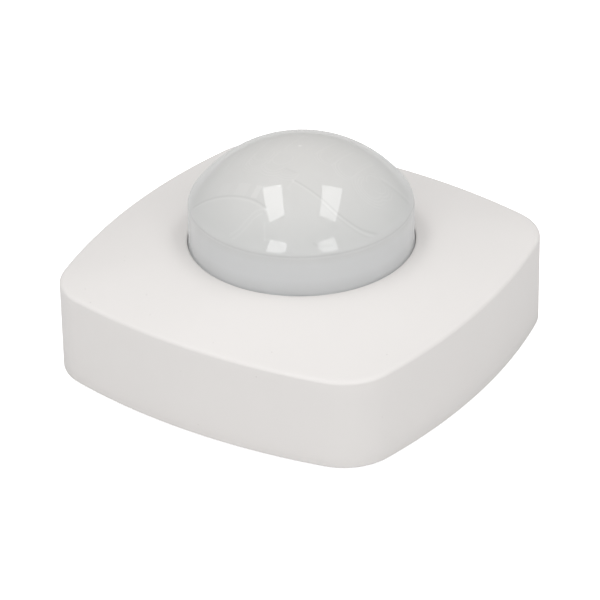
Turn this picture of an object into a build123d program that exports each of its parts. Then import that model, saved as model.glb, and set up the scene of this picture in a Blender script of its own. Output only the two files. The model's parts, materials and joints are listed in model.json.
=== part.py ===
from build123d import *
import os
from math import atan2, cos, radians, sin, sqrt

# Square ceiling motion sensor, lying on its back: +Z points out of the lens.
# Origin: centre of the back face of the mounting base. Millimetres.

# ---- driving dimensions -------------------------------------------------------------
# Cover: a square with bulged sides, an upright skirt and a crowned top with a round hole
HALF_WIDTH = 52.5
SIDE_RADIUS = 165.0
CORNER_RADIUS = 15.0
COVER_WALL = 2.0
COVER_FOOT = 0.3
RIM_HEIGHT = 25.0
RIM_FILLET = 0.8
CROWN_RADIUS = 29.4
HOLE_RADIUS = 29.15
HOLE_HEIGHT = 30.4
HOLE_FILLET = 0.3
RIM_SLOPE = 0.287
HOLE_SLOPE = 0.105
CROWN_STEPS = (0.0, 0.25, 0.5, 0.75, 1.12)
CROWN_END_RC = 0.97
CROWN_END_RS = 1.05
PEG_AT = 39.4
PEG_RADIUS = 1.5
PEG_FOOT = 3.6
PEG_TOP = 24.0
PEG_COLLAR_RADIUS = 2.6

# Lens: upright band, rounded shoulder and a shallow spherical cap, one wall throughout
BAND_RADIUS = 28.8
SHOULDER_RADIUS = 3.7
CAP_RADIUS = 34.5
APEX_HEIGHT = 56.9
LENS_WALL = 1.3
LENS_FLANGE_RADIUS = 32.2
LENS_FLANGE_LOW = 24.3
LENS_FLANGE_TOP = 25.6

# Mounting base
BASE_INSET = 2.5
BASE_FLOOR = 2.2
BASE_RIM_TOP = 8.0
BASE_RIM_WALL = 1.6
SOCKET_TOP = 13.0
SOCKET_RADIUS = 2.9
SOCKET_BORE = 1.55
FIXING_SPACING = 83.3
FIXING_WIDTH = 4.6
FIXING_LENGTH = 10.0
FIXING_PAD = 0.8
FIXING_PAD_EXTRA = 3.0

# Cable entry and strain relief
ENTRY_X = -26.0
ENTRY_Y = -38.0
ENTRY_RADIUS = 5.6
ENTRY_BORE = 3.5
GROMMET_FLANGE_RADIUS = 7.2
GROMMET_FLANGE = 0.9
CLAMP_X = -15.5
CLAMP_Y = (-45.2, -34.4)
CLAMP_BOSS_RADIUS = 2.2
CLAMP_BOSS_TOP = 6.4
CLAMP_BAR_TOP = 9.2
CLAMP_BAR_HALF = 2.6
CLAMP_SADDLE_RADIUS = 3.0
CLAMP_SADDLE_DROP = 1.4
CLAMP_SCREW_RADIUS = 1.2
CLAMP_SCREW_TIP = 2.5
CLAMP_HEAD_RADIUS = 2.1
CLAMP_HEAD = 1.5

# Play round screws: in the hole they bite into, and in a hole they pass through
THREAD_PLAY = 0.05
HOLE_PLAY = 0.2

# Boards
BOARD_GAP = 0.5
BOARD_LOW = 5.2
BOARD = 1.6
BOARD_TOP = BOARD_LOW + BOARD
SENSOR_BOARD_LOW = 19.4
SENSOR_BOARD_TOP = SENSOR_BOARD_LOW + BOARD
SENSOR_BOARD_RADIUS = 25.4
STANDOFF_AT = 15.2
STANDOFF_RADIUS = 2.2
STANDOFF_BORE = 1.0
STANDOFF_HEAD_RADIUS = 1.8
STANDOFF_HEAD = 1.2
STANDOFF_SLOT = 0.5
STANDOFF_SCREW_DEPTH = 6.0
HEADER_PINS = 6
HEADER_PITCH = 2.54
HEADER_Y = 21.0
HEADER_HEIGHT = 2.5
PIN_HALF = 0.32

# Electronics housing
HOUSING_WALL = 1.6
HOUSING_FOOT = 2.2
HOUSING_HALF_X = 34.5
HOUSING_BACK = -27.0
HOUSING_FRONT = 35.4
HOUSING_TOP = 22.4
HOUSING_CORNER = 2.0  # radius outside; inside it is less by the wall
HOUSING_EASE = 0.7
DRUM_RADIUS = 34.0
DRUM_TOP = 27.2
DRUM_HOLE_RADIUS = 29.0
BAY_HALF_X = 20.0
BAY_START = 30.0
BAY_FRONT = 46.9
BAY_TOP = 16.8
COLUMN_X = 29.2
COLUMN_Y = (-21.6, 30.8)
COLUMN_RADIUS = 4.4
COLUMN_WELL_RADIUS = 3.0
COLUMN_SEAT = 9.0
PILLAR_RADIUS = 2.9
FOOT_RADIUS = 1.45
SCREW_RADIUS = 1.45
SCREW_HOLE = 1.5
SCREW_HEAD_RADIUS = 2.7
SCREW_HEAD = 2.0
SCREW_SLOT = 0.7
SCREW_TIP = 1.0
SCREW_HOLE_LOW = 0.8

# Lens ring
RING_LOW = 22.8
RING_INNER = 27.6
RING_SCREW_AT = 31.0
RING_SCREW_ANGLES = (90, 210, 330)
RING_SCREW_RADIUS = 0.95
RING_BOSS_RADIUS = 1.7
RING_HEAD_RADIUS = 1.3
RING_HEAD = 1.2
RING_SCREW_TIP = 26.2
RING_HOLE_TOP = 26.4
RING_HOLE_PLAY = 0.1
FLANGE_PLAY = 0.25

# Terminal block: screw turns, cage rises by its thread pitch
POLE_X = (18.35, 25.35, 32.35)
POLE_Y = -36.2
POLE_FOOT_Y = -39.2
BLOCK_X = (14.6, 36.1)
BLOCK_Y = (-41.0, -31.2)
BLOCK_TOP = 21.0
BLOCK_ROOF = (17.6, 18.6)
CAVITY_FLOOR = 7.8
CAVITY_HALF_X = 2.95
CAVITY_HALF_Y = 3.6
CAGE_HALF_X = 2.6
CAGE_HALF_Y = 3.2
CAGE_LOW = 8.1
CAGE_HEIGHT = 6.8
CAGE_TRAVEL = 2.5
CAGE_SIDE = 0.7
CAGE_FLOOR = 1.0
CAGE_ROOF = 1.2
MOUTH_HALF_X = 2.2
PLATE_LOW = 12.6
PLATE = 0.8
PLATE_HALF_X = 1.5
PLATE_HALF_Y = 3.3
BLOCK_BOARD_SIDE = 0.2
BLOCK_BOARD_FRONT = 0.8
BLOCK_OPENING_SIDE = 1.2
TERMINAL_SCREW_RADIUS = 1.45
TERMINAL_SCREW_HOLE = 1.5
TERMINAL_SCREW_GAP = 0.05
TERMINAL_ROOF_HOLE = 1.6
TERMINAL_HEAD_RADIUS = 2.5
TERMINAL_HEAD = 1.6
TERMINAL_WELL_RADIUS = 2.8

# Adjuster dials
DIAL_X = (-13.0, 0.0, 13.0)
DIAL_Y = 41.4
POT_HALF_X = 4.2
POT_HALF_Y = 3.5
POT_TOP = 11.8
POT_BORE = 1.55
DIAL_SHAFT_RADIUS = 1.5
DIAL_SHAFT_FOOT = 8.6
DIAL_STEM_RADIUS = 2.3
DIAL_HEAD_RADIUS = 3.3
DIAL_HEAD_LOW = 14.4
DIAL_TOP = 17.6
DIAL_WINDOW_RADIUS = 3.65
DIAL_SLOT_HALF = 0.45
DIAL_SLOT_REACH = 2.4
DIAL_SLOT_DEPTH = 1.2
DIAL_POINTER_RADIUS = 0.9
DIAL_GAP = 0.3

# Relay: long side along Y
RELAY_X = -26.4
RELAY_Y = 4.4
RELAY_WIDTH = 10.1
RELAY_LENGTH = 28.6
RELAY_TOP = 18.8
RELAY_WALL = 0.8
RELAY_CASE_FOOT = 7.2
RELAY_BASE_TOP = 8.8
COIL_RADIUS = 3.0
COIL_Z = 12.6
COIL_Y = (-4.6, 8.0)
BOBBIN_RADIUS = 3.7
BOBBIN_FLANGE = 0.9
CORE_RADIUS = 1.3
CORE_TIP_Y = -5.2
YOKE = 1.2
YOKE_HALF_X = 3.2
YOKE_Y = 10.2
YOKE_TOP = 17.8
YOKE_TIP_Y = -5.85
ARMATURE_Y = (-7.3, -6.2)
ARMATURE_Z = (9.6, 17.6)
ARMATURE_HALF_X = 3.0
ARMATURE_PIVOT_Z = 17.4
ARMATURE_PIVOT_RADIUS = 0.3
CONTACT_Y = (-9.0, -8.6, -8.0)
CONTACT_HALF_X = 2.2
CONTACT_TOP = 15.5
BUTTON_RADIUS = 1.1
BUTTON_Z = 13.6

# Mains-side components: places on the main board, heights above it
FILM_X = (21.4, 28.4)
FILM_Y = (-8.0, 10.0)
FILM_HEIGHT = 11.4
FILM_FILLET = 0.6
CANS = ((6.5, -22.0, 4.0, 10.5), (-3.5, -22.5, 3.15, 8.0))
CAN_GROOVE = 0.35
CAN_GROOVE_Z = (1.2, 1.8)
VARISTOR_X = 19.0
VARISTOR_Y = (-22.6, -19.2)
VARISTOR_Z = 5.6
VARISTOR_RADIUS = 4.6
VARISTOR_LEG_AT = 2.5
VARISTOR_LEG_HALF = 0.35
VARISTOR_LEG_TOP = 2.2
RESISTOR_X = 8.0
RESISTOR_Y = -12.5
RESISTOR_Z = 1.9
RESISTOR_RADIUS = 1.6
RESISTOR_LENGTH = 8.0
RESISTOR_LEAD_AT = 4.3
RESISTOR_LEAD_HALF = 0.3
RECTIFIER_X = (10.0, 16.4)
RECTIFIER_Y = (-4.0, 1.0)
RECTIFIER_HEIGHT = 2.6
CHOKE_X = -11.5
CHOKE_Y = -8.0
CHOKE_RIM_RADIUS = 4.0
CHOKE_RIM = 1.4
CHOKE_WAIST_RADIUS = 2.9
CHOKE_HEIGHT = 8.6

# Control components
CHIP_Y = 8.0
CHIP_HALF = 4.5
CHIP_Z = (0.2, 1.6)
CHIP_LEGS = 8
CHIP_LEG_PITCH = 1.0
CHIP_LEG_REACH = 5.4
CHIP_LEG_HALF = 0.2
CHIP_LEG_TOP = 0.5
CHIP_ROWS = ((-8.0, 26.0, 5), (12.0, 8.0, 4), (4.0, -3.0, 3), (-10.0, 30.5, 6))
CHIP_ROW_PITCH = 2.6
CHIP_ROW_HALF_X = 0.8
CHIP_ROW_HALF_Y = 0.6
CHIP_ROW_HEIGHT = 0.7

# Sensor side: pyroelectric can, light sensor, LED and shroud
PIR_BASE_LOW = SENSOR_BOARD_TOP + 1.0
PIR_BASE_RADIUS = 4.55
PIR_CAN_LOW = PIR_BASE_LOW + 0.7
PIR_TOP = PIR_CAN_LOW + 3.5
PIR_RADIUS = 4.1
PIR_WALL = 0.25
PIR_WINDOW_HALF = 2.2
PIR_WINDOW_LAP = 0.3
PIR_WINDOW = 0.5
PIR_LEAD_AT = 2.54
PIR_LEAD_RADIUS = 0.25
PIR_LEAD_HOLE = 0.3
PIR_LEAD_ANGLES = (0, 90, 180)
LED_AT = (-10.5, -10.0)
LED_RADIUS = 1.5
LED_RIM_RADIUS = 1.9
LED_RIM = 1.0
LED_BARREL = 3.8
LED_OPENING = 2.1
LIGHT_SENSOR_AT = (10.5, -10.0)
LIGHT_SENSOR_RADIUS = 2.5
LIGHT_SENSOR_HEIGHT = 2.2
LIGHT_SENSOR_OPENING = 2.9
AMPLIFIER_Y = 10.5
AMPLIFIER_HALF_X = 4.3
AMPLIFIER_HALF_Y = 2.0
AMPLIFIER_HEIGHT = 1.4
SHROUD_LOW = 23.0
SHROUD_TOP = 24.2
SHROUD_RADIUS = 27.0
SHROUD_FOOT = (25.2, 23.6)
PIR_OPENING = 5.0

ON_BOTTOM = (Align.CENTER, Align.CENTER, Align.MIN)


# ---- small helpers ------------------------------------------------------------------
def rod(radius, low, high, x=0.0, y=0.0):
    """Upright cylinder between two heights."""
    return Pos(x, y, low) * Cylinder(radius, high - low, align=ON_BOTTOM)


def tube(outer, inner, low, high, x=0.0, y=0.0):
    """Upright tube between two heights."""
    return rod(outer, low, high, x, y) - rod(inner, low, high, x, y)


def slab(x, y, z):
    """Box between pairs of coordinates."""
    sizes = [pair[1] - pair[0] for pair in (x, y, z)]
    return Pos(x[0], y[0], z[0]) * Box(*sizes, align=(Align.MIN, Align.MIN, Align.MIN))


def around(x, half):
    """Pair of coordinates each side of x."""
    return (x - half, x + half)


def prism(face, low, high):
    """Upright solid on a plan face between two heights."""
    return Pos(0, 0, low) * extrude(face, high - low)


def corners(x, y):
    """The four places with both signs of x and y."""
    return [(sx * x, sy * y) for sx in (-1, 1) for sy in (-1, 1)]


def on_ring(radius, angle):
    """Plan place at a radius and an angle in degrees."""
    return radius * cos(radians(angle)), radius * sin(radians(angle))


def solid_of(shapes):
    """All shapes as one part; pieces that don't touch stay separate solids."""
    whole = Part()
    for shape in shapes:
        whole += shape
    return whole


def screw(x, y, seat, head_radius, head, shank_radius, tip, slot=SCREW_SLOT):
    """Round-headed slotted screw that points down from its seat."""
    body = rod(head_radius, seat, seat + head, x, y) + rod(shank_radius, tip, seat, x, y)
    groove = slab(around(x, slot / 2), around(y, head_radius), (seat + head / 2, seat + head))
    return body - groove


# ---- plan outline -------------------------------------------------------------------
def bulged_square(half, side_radius, corner_radius):
    """Square with outward-curved sides and round corners, all arcs tangent."""
    drop = side_radius - half
    reach = side_radius - corner_radius
    centre = (sqrt(2 * reach**2 - drop**2) - drop) / 2
    tangent = atan2(centre, centre + drop)
    along = side_radius * sin(tangent)
    out = side_radius * cos(tangent) - drop
    elbow = centre + corner_radius / sqrt(2)
    arcs = []
    for quarter in range(4):
        side = ThreePointArc((-along, out), (0, half), (along, out))
        corner = ThreePointArc((along, out), (elbow, elbow), (out, along))
        arcs += [Rot(Z=-90 * quarter) * edge for edge in (side, corner)]
    return make_face(Wire(arcs))


def outline(inset):
    """The cover's plan outline, moved in all round."""
    return bulged_square(HALF_WIDTH - inset, SIDE_RADIUS - inset, CORNER_RADIUS - inset)


# ---- cover --------------------------------------------------------------------------
def crown_section(step, inset):
    """Plan outline of the crowned top: rim at step 0, the round hole at step 1."""
    end = CROWN_STEPS[-1]
    mix = step / end
    half = HALF_WIDTH - step * (HALF_WIDTH - CROWN_RADIUS)
    end_half = HALF_WIDTH - end * (HALF_WIDTH - CROWN_RADIUS)
    corner = CORNER_RADIUS + mix * (CROWN_END_RC * end_half - CORNER_RADIUS)
    side = 1 / ((1 - mix) / SIDE_RADIUS + mix / (CROWN_END_RS * end_half))
    rise = HOLE_HEIGHT - RIM_HEIGHT
    run = HALF_WIDTH - CROWN_RADIUS
    first = RIM_SLOPE * run / rise
    last = HOLE_SLOPE * run / rise
    cubic = first + last - 2
    square = 1 - first - cubic
    height = RIM_HEIGHT + rise * (first * step + square * step**2 + cubic * step**3)
    return Pos(0, 0, height - inset) * bulged_square(half - inset, side - inset, corner - inset)


def filled_cover(inset, low):
    """Cover as a full block, moved in all round: the shell is one less the other."""
    skirt = prism(outline(inset), low, RIM_HEIGHT - inset)
    crown = loft([crown_section(step, inset) for step in CROWN_STEPS])
    return skirt + crown


def make_front_cover():
    outer = filled_cover(0, COVER_FOOT)
    rim = outer.edges().filter_by_position(Axis.Z, RIM_HEIGHT - 0.01, RIM_HEIGHT + 0.01)
    outer = fillet(rim, RIM_FILLET)
    shell = outer - filled_cover(COVER_WALL, 0)
    shell -= rod(HOLE_RADIUS, RIM_HEIGHT - COVER_WALL, APEX_HEIGHT)
    lip = shell.edges().filter_by_position(Axis.Z, HOLE_HEIGHT - 0.3, HOLE_HEIGHT + 0.3)
    shell = fillet(lip, HOLE_FILLET)
    collar_low = SOCKET_TOP + COVER_FOOT
    for x, y in corners(PEG_AT, PEG_AT):
        shell += rod(PEG_RADIUS, PEG_FOOT, PEG_TOP, x, y)
        shell += rod(PEG_COLLAR_RADIUS, collar_low, PEG_TOP, x, y)
    return shell


# ---- lens ---------------------------------------------------------------------------
def dome_profile(inset):
    """Half section of the dome as a closed face in the XZ plane, moved in by inset."""
    cap_centre = APEX_HEIGHT - CAP_RADIUS
    shoulder_x = BAND_RADIUS - SHOULDER_RADIUS
    reach = CAP_RADIUS - SHOULDER_RADIUS
    shoulder_z = cap_centre + sqrt(reach**2 - shoulder_x**2)
    tilt = atan2(shoulder_x, shoulder_z - cap_centre)
    shoulder = SHOULDER_RADIUS - inset
    cap = CAP_RADIUS - inset

    def on_arc(x, z, radius, angle):
        return (x + radius * sin(angle), z + radius * cos(angle))

    start = (BAND_RADIUS - inset, shoulder_z)
    join = on_arc(0, cap_centre, cap, tilt)
    mid_shoulder = on_arc(shoulder_x, shoulder_z, shoulder, (tilt + radians(90)) / 2)
    apex = (0, cap_centre + cap)
    edges = [
        Line((0, LENS_FLANGE_LOW), (BAND_RADIUS - inset, LENS_FLANGE_LOW)),
        Line((BAND_RADIUS - inset, LENS_FLANGE_LOW), start),
        ThreePointArc(start, mid_shoulder, join),
        ThreePointArc(join, on_arc(0, cap_centre, cap, tilt / 2), apex),
        Line(apex, (0, LENS_FLANGE_LOW)),
    ]
    return Plane.XZ * make_face(Wire(edges))


def make_lens_dome():
    dome = revolve(dome_profile(0), Axis.Z) - revolve(dome_profile(LENS_WALL), Axis.Z)
    flange = tube(LENS_FLANGE_RADIUS, BAND_RADIUS - LENS_WALL, LENS_FLANGE_LOW, LENS_FLANGE_TOP)
    for angle in RING_SCREW_ANGLES:
        x, y = on_ring(RING_SCREW_AT, angle)
        half = RING_BOSS_RADIUS + FLANGE_PLAY
        z = (LENS_FLANGE_LOW, LENS_FLANGE_TOP)
        outward = slab((0, COLUMN_RADIUS), around(0, half), z)
        flange -= rod(half, *z, x, y) + Pos(x, y, 0) * Rot(Z=angle) * outward
    return dome + flange


def make_lens_ring():
    ring = tube(LENS_FLANGE_RADIUS, RING_INNER, RING_LOW, LENS_FLANGE_LOW)
    for angle in RING_SCREW_ANGLES:
        x, y = on_ring(RING_SCREW_AT, angle)
        ring -= rod(RING_SCREW_RADIUS + RING_HOLE_PLAY, RING_LOW, LENS_FLANGE_LOW, x, y)
    return ring


def make_lens_ring_screws():
    screws = []
    for angle in RING_SCREW_ANGLES:
        x, y = on_ring(RING_SCREW_AT, angle)
        head = rod(RING_HEAD_RADIUS, RING_LOW - RING_HEAD, RING_LOW, x, y)
        shank = rod(RING_SCREW_RADIUS, RING_LOW, RING_SCREW_TIP, x, y)
        screws.append(head + shank)
    return solid_of(screws)


# ---- mounting base ------------------------------------------------------------------
def fixing_slot(x, z, extra=0.0):
    """Slot through the base for one fixing screw, its length along X."""
    plan = SlotOverall(FIXING_LENGTH + extra, FIXING_WIDTH + extra)
    return Pos(x, 0, z[0]) * extrude(plan, z[1] - z[0])


def make_mounting_base():
    floor = prism(outline(BASE_INSET), 0, BASE_FLOOR)
    inner = outline(BASE_INSET + BASE_RIM_WALL)
    base = floor + prism(outline(BASE_INSET) - inner, 0, BASE_RIM_TOP)
    for x in (-FIXING_SPACING / 2, FIXING_SPACING / 2):
        base += fixing_slot(x, (BASE_FLOOR, BASE_FLOOR + FIXING_PAD), extra=FIXING_PAD_EXTRA)
        base -= fixing_slot(x, (0, BASE_RIM_TOP))
    for x, y in corners(PEG_AT, PEG_AT):
        base += rod(SOCKET_RADIUS, BASE_FLOOR, SOCKET_TOP, x, y)
        base -= rod(SOCKET_BORE, BASE_FLOOR, SOCKET_TOP, x, y)
    for x in (-COLUMN_X, COLUMN_X):
        for y in COLUMN_Y:
            base += rod(PILLAR_RADIUS, BASE_FLOOR, BOARD_LOW, x, y)
            base -= rod(SCREW_HOLE, SCREW_HOLE_LOW, BOARD_LOW, x, y)
    for x in (POLE_X[0], POLE_X[-1]):
        base += rod(FOOT_RADIUS, BASE_FLOOR, BOARD_LOW, x, POLE_FOOT_Y)
    for x in (DIAL_X[0], DIAL_X[-1]):
        base += rod(FOOT_RADIUS, BASE_FLOOR, BOARD_LOW, x, DIAL_Y)
    for y in CLAMP_Y:
        base += rod(CLAMP_BOSS_RADIUS, BASE_FLOOR, CLAMP_BOSS_TOP, CLAMP_X, y)
        base -= rod(CLAMP_SCREW_RADIUS + THREAD_PLAY, BASE_FLOOR, CLAMP_BOSS_TOP, CLAMP_X, y)
    base -= rod(ENTRY_RADIUS, 0, BASE_FLOOR, ENTRY_X, ENTRY_Y)
    base -= rod(GROMMET_FLANGE_RADIUS, 0, GROMMET_FLANGE, ENTRY_X, ENTRY_Y)
    return base


def make_cable_grommet():
    neck = rod(ENTRY_RADIUS, 0, BASE_FLOOR + GROMMET_FLANGE)
    back = rod(GROMMET_FLANGE_RADIUS, 0, GROMMET_FLANGE)
    front = rod(GROMMET_FLANGE_RADIUS, BASE_FLOOR, BASE_FLOOR + GROMMET_FLANGE)
    bore = rod(ENTRY_BORE, 0, BASE_FLOOR + GROMMET_FLANGE)
    return Pos(ENTRY_X, ENTRY_Y, 0) * (neck + back + front - bore)


def make_cable_clamp_bar():
    middle = sum(CLAMP_Y) / 2
    ends = (CLAMP_Y[0] - CLAMP_BOSS_RADIUS, CLAMP_Y[1] + CLAMP_BOSS_RADIUS)
    bar = slab(around(CLAMP_X, CLAMP_BAR_HALF), ends, (CLAMP_BOSS_TOP, CLAMP_BAR_TOP))
    saddle = Rot(Y=90) * Cylinder(CLAMP_SADDLE_RADIUS, 4 * CLAMP_BAR_HALF)
    bar -= Pos(CLAMP_X, middle, CLAMP_BOSS_TOP - CLAMP_SADDLE_DROP) * saddle
    for y in CLAMP_Y:
        bar -= rod(CLAMP_SCREW_RADIUS + HOLE_PLAY, CLAMP_BOSS_TOP, CLAMP_BAR_TOP, CLAMP_X, y)
    return bar


def make_cable_clamp_screws():
    return solid_of(
        screw(CLAMP_X, y, CLAMP_BAR_TOP, CLAMP_HEAD_RADIUS, CLAMP_HEAD, CLAMP_SCREW_RADIUS, CLAMP_SCREW_TIP)
        for y in CLAMP_Y)


# ---- boards -------------------------------------------------------------------------
def make_main_board():
    z = (BOARD_LOW, BOARD_TOP)
    gap = HOUSING_WALL + BOARD_GAP
    board = slab(around(0, HOUSING_HALF_X - gap), (HOUSING_BACK + gap, HOUSING_FRONT - gap), z)
    board += rod(DRUM_RADIUS - gap, *z)
    board += slab(around(0, BAY_HALF_X - gap), (BAY_START, BAY_FRONT - gap), z)
    block_x = (BLOCK_X[0] - BLOCK_BOARD_SIDE, BLOCK_X[1] + BLOCK_BOARD_SIDE)
    board += slab(block_x, (BLOCK_Y[0] - BLOCK_BOARD_FRONT, HOUSING_BACK + gap), z)
    for x in (-COLUMN_X, COLUMN_X):
        for y in COLUMN_Y:
            board -= rod(SCREW_HOLE + HOLE_PLAY, *z, x, y)
    return board


def make_sensor_board():
    z = (SENSOR_BOARD_LOW, SENSOR_BOARD_TOP)
    board = rod(SENSOR_BOARD_RADIUS, *z)
    for x, y in corners(STANDOFF_AT, STANDOFF_AT):
        board -= rod(STANDOFF_BORE + HOLE_PLAY, *z, x, y)
    return board


def make_board_standoffs():
    return solid_of(
        tube(STANDOFF_RADIUS, STANDOFF_BORE, BOARD_TOP, SENSOR_BOARD_LOW, x, y)
        for x, y in corners(STANDOFF_AT, STANDOFF_AT))


def make_sensor_board_screws():
    shank = (STANDOFF_BORE - THREAD_PLAY, SENSOR_BOARD_LOW - STANDOFF_SCREW_DEPTH, STANDOFF_SLOT)
    return solid_of(
        screw(x, y, SENSOR_BOARD_TOP, STANDOFF_HEAD_RADIUS, STANDOFF_HEAD, *shank)
        for x, y in corners(STANDOFF_AT, STANDOFF_AT))


def make_board_header():
    half = HEADER_PINS * HEADER_PITCH / 2
    strips = []
    for low in (BOARD_TOP, SENSOR_BOARD_LOW - HEADER_HEIGHT):
        strip = slab(around(0, half), around(HEADER_Y, HEADER_PITCH / 2), (low, low + HEADER_HEIGHT))
        strips.append(strip - header_pins(low, low + HEADER_HEIGHT))
    return solid_of(strips)


def header_pins(low, high):
    """Row of square pins between two heights."""
    places = [(n - (HEADER_PINS - 1) / 2) * HEADER_PITCH for n in range(HEADER_PINS)]
    return solid_of(
        slab(around(x, PIN_HALF), around(HEADER_Y, PIN_HALF), (low, high)) for x in places)


def make_header_pins():
    return header_pins(BOARD_TOP, SENSOR_BOARD_LOW)


# ---- electronics housing ------------------------------------------------------------
def rounded_upright(block, radius):
    """Block with its upright edges rounded."""
    return fillet(block.edges().filter_by(Axis.Z), radius)


def eased_top(block):
    """Block with the edge of its top face eased."""
    return fillet(block.faces().sort_by(Axis.Z)[-1].edges(), HOUSING_EASE)


def eased(block, radius):
    return eased_top(rounded_upright(block, radius))


def housing_block(inset, low, lower_tops):
    """Housing as a full block, moved in all round and with its tops lowered."""
    x = around(0, HOUSING_HALF_X - inset)
    body = slab(x, (HOUSING_BACK + inset, HOUSING_FRONT - inset), (low, HOUSING_TOP - lower_tops))
    bay = slab(around(0, BAY_HALF_X - inset), (BAY_START, BAY_FRONT - inset), (low, BAY_TOP - lower_tops))
    corner = HOUSING_CORNER - inset
    drum = rod(DRUM_RADIUS - inset, low, DRUM_TOP - lower_tops)
    if inset == 0:
        return eased(body, corner) + eased(bay, corner) + eased_top(drum)
    return rounded_upright(body, corner) + rounded_upright(bay, corner) + drum


def make_electronics_housing():
    housing = housing_block(0, HOUSING_FOOT, 0) - housing_block(HOUSING_WALL, 0, HOUSING_WALL)
    housing -= rod(DRUM_HOLE_RADIUS, HOUSING_TOP, DRUM_TOP)
    for x in (-COLUMN_X, COLUMN_X):
        for y in COLUMN_Y:
            housing += rod(COLUMN_RADIUS, BOARD_TOP, HOUSING_TOP, x, y)
            housing -= rod(COLUMN_WELL_RADIUS, COLUMN_SEAT, HOUSING_TOP, x, y)
            housing -= rod(SCREW_HOLE + HOLE_PLAY, BOARD_TOP, COLUMN_SEAT, x, y)
    for angle in RING_SCREW_ANGLES:
        x, y = on_ring(RING_SCREW_AT, angle)
        housing += rod(RING_BOSS_RADIUS, LENS_FLANGE_LOW, DRUM_TOP - HOUSING_WALL, x, y)
        housing -= rod(RING_SCREW_RADIUS + THREAD_PLAY, LENS_FLANGE_LOW, RING_HOLE_TOP, x, y)
    for x in DIAL_X:
        housing -= rod(DIAL_WINDOW_RADIUS, POT_TOP, BAY_TOP, x, DIAL_Y)
    x = (BLOCK_X[0] - BLOCK_OPENING_SIDE, BLOCK_X[1] + BLOCK_OPENING_SIDE)
    y = (-DRUM_RADIUS, HOUSING_BACK + HOUSING_WALL + 2)
    return housing - slab(x, y, (0, BOARD_TOP + HOLE_PLAY))


def make_housing_screws():
    return solid_of(
        screw(x, y, COLUMN_SEAT, SCREW_HEAD_RADIUS, SCREW_HEAD, SCREW_RADIUS, SCREW_TIP)
        for x in (-COLUMN_X, COLUMN_X) for y in COLUMN_Y)


# ---- terminals ----------------------------------------------------------------------
def make_terminal_block():
    block = slab(BLOCK_X, BLOCK_Y, (BOARD_TOP, BLOCK_TOP))
    for x in POLE_X:
        inside = (CAVITY_FLOOR, BLOCK_ROOF[0])
        block -= slab(around(x, CAVITY_HALF_X), around(POLE_Y, CAVITY_HALF_Y), inside)
        block -= rod(TERMINAL_WELL_RADIUS, BLOCK_ROOF[1], BLOCK_TOP, x, POLE_Y)
        block -= rod(TERMINAL_ROOF_HOLE, *BLOCK_ROOF, x, POLE_Y)
        mouth = (CAGE_LOW + CAGE_FLOOR, PLATE_LOW)
        block -= slab(around(x, MOUTH_HALF_X), (BLOCK_Y[0], POLE_Y - CAVITY_HALF_Y), mouth)
        back = (POLE_Y + CAVITY_HALF_Y, BLOCK_Y[1])
        block -= slab(around(x, PLATE_HALF_X), back, (PLATE_LOW, PLATE_LOW + PLATE))
    return block


def make_terminal_plates():
    back = (BLOCK_Y[1], BLOCK_Y[1] + PLATE)
    plates = []
    for x in POLE_X:
        width = around(x, PLATE_HALF_X)
        tongue = slab(width, (POLE_Y - PLATE_HALF_Y, back[1]), (PLATE_LOW, PLATE_LOW + PLATE))
        leg = slab(width, back, (BOARD_TOP, PLATE_LOW))
        plates.append(tongue + leg)
    return solid_of(plates)


def make_terminal_cage(x):
    top = CAGE_LOW + CAGE_HEIGHT
    cage = slab(around(x, CAGE_HALF_X), around(POLE_Y, CAGE_HALF_Y), (CAGE_LOW, top))
    window = (CAGE_LOW + CAGE_FLOOR, top - CAGE_ROOF)
    cage -= slab(around(x, CAGE_HALF_X - CAGE_SIDE), around(POLE_Y, CAGE_HALF_Y), window)
    return cage - rod(TERMINAL_SCREW_HOLE, top - CAGE_ROOF, top, x, POLE_Y)


def make_terminal_screw(x):
    seat = BLOCK_ROOF[1] + TERMINAL_SCREW_GAP
    tip = PLATE_LOW + PLATE + TERMINAL_SCREW_GAP
    return screw(x, POLE_Y, seat, TERMINAL_HEAD_RADIUS, TERMINAL_HEAD, TERMINAL_SCREW_RADIUS, tip)


# ---- adjusters ----------------------------------------------------------------------
def make_dial_potentiometers():
    return solid_of(
        slab(around(x, POT_HALF_X), around(DIAL_Y, POT_HALF_Y), (BOARD_TOP, POT_TOP))
        - rod(POT_BORE, DIAL_SHAFT_FOOT - DIAL_GAP, POT_TOP, x, DIAL_Y)
        for x in DIAL_X)


def make_dial(x):
    dial = rod(DIAL_SHAFT_RADIUS, DIAL_SHAFT_FOOT, DIAL_HEAD_LOW, x, DIAL_Y)
    dial += rod(DIAL_STEM_RADIUS, POT_TOP + DIAL_GAP, DIAL_HEAD_LOW, x, DIAL_Y)
    dial += rod(DIAL_HEAD_RADIUS, DIAL_HEAD_LOW, DIAL_TOP, x, DIAL_Y)
    slot_z = (DIAL_TOP - DIAL_SLOT_DEPTH, DIAL_TOP)
    dial -= slab(around(x, DIAL_SLOT_HALF), around(DIAL_Y, DIAL_SLOT_REACH), slot_z)
    return dial - rod(DIAL_POINTER_RADIUS, *slot_z, x, DIAL_Y - DIAL_SLOT_REACH)


# ---- relay --------------------------------------------------------------------------
def relay_box(inset, low, high):
    """Block inside the relay's outline."""
    x = around(RELAY_X, RELAY_WIDTH / 2 - inset)
    return slab(x, around(RELAY_Y, RELAY_LENGTH / 2 - inset), (low, high))


def make_relay_case():
    inside = relay_box(RELAY_WALL, 0, RELAY_TOP - RELAY_WALL)
    return relay_box(0, RELAY_CASE_FOOT, RELAY_TOP) - inside


def make_relay_base():
    return relay_box(RELAY_WALL, BOARD_TOP, RELAY_BASE_TOP)


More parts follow.
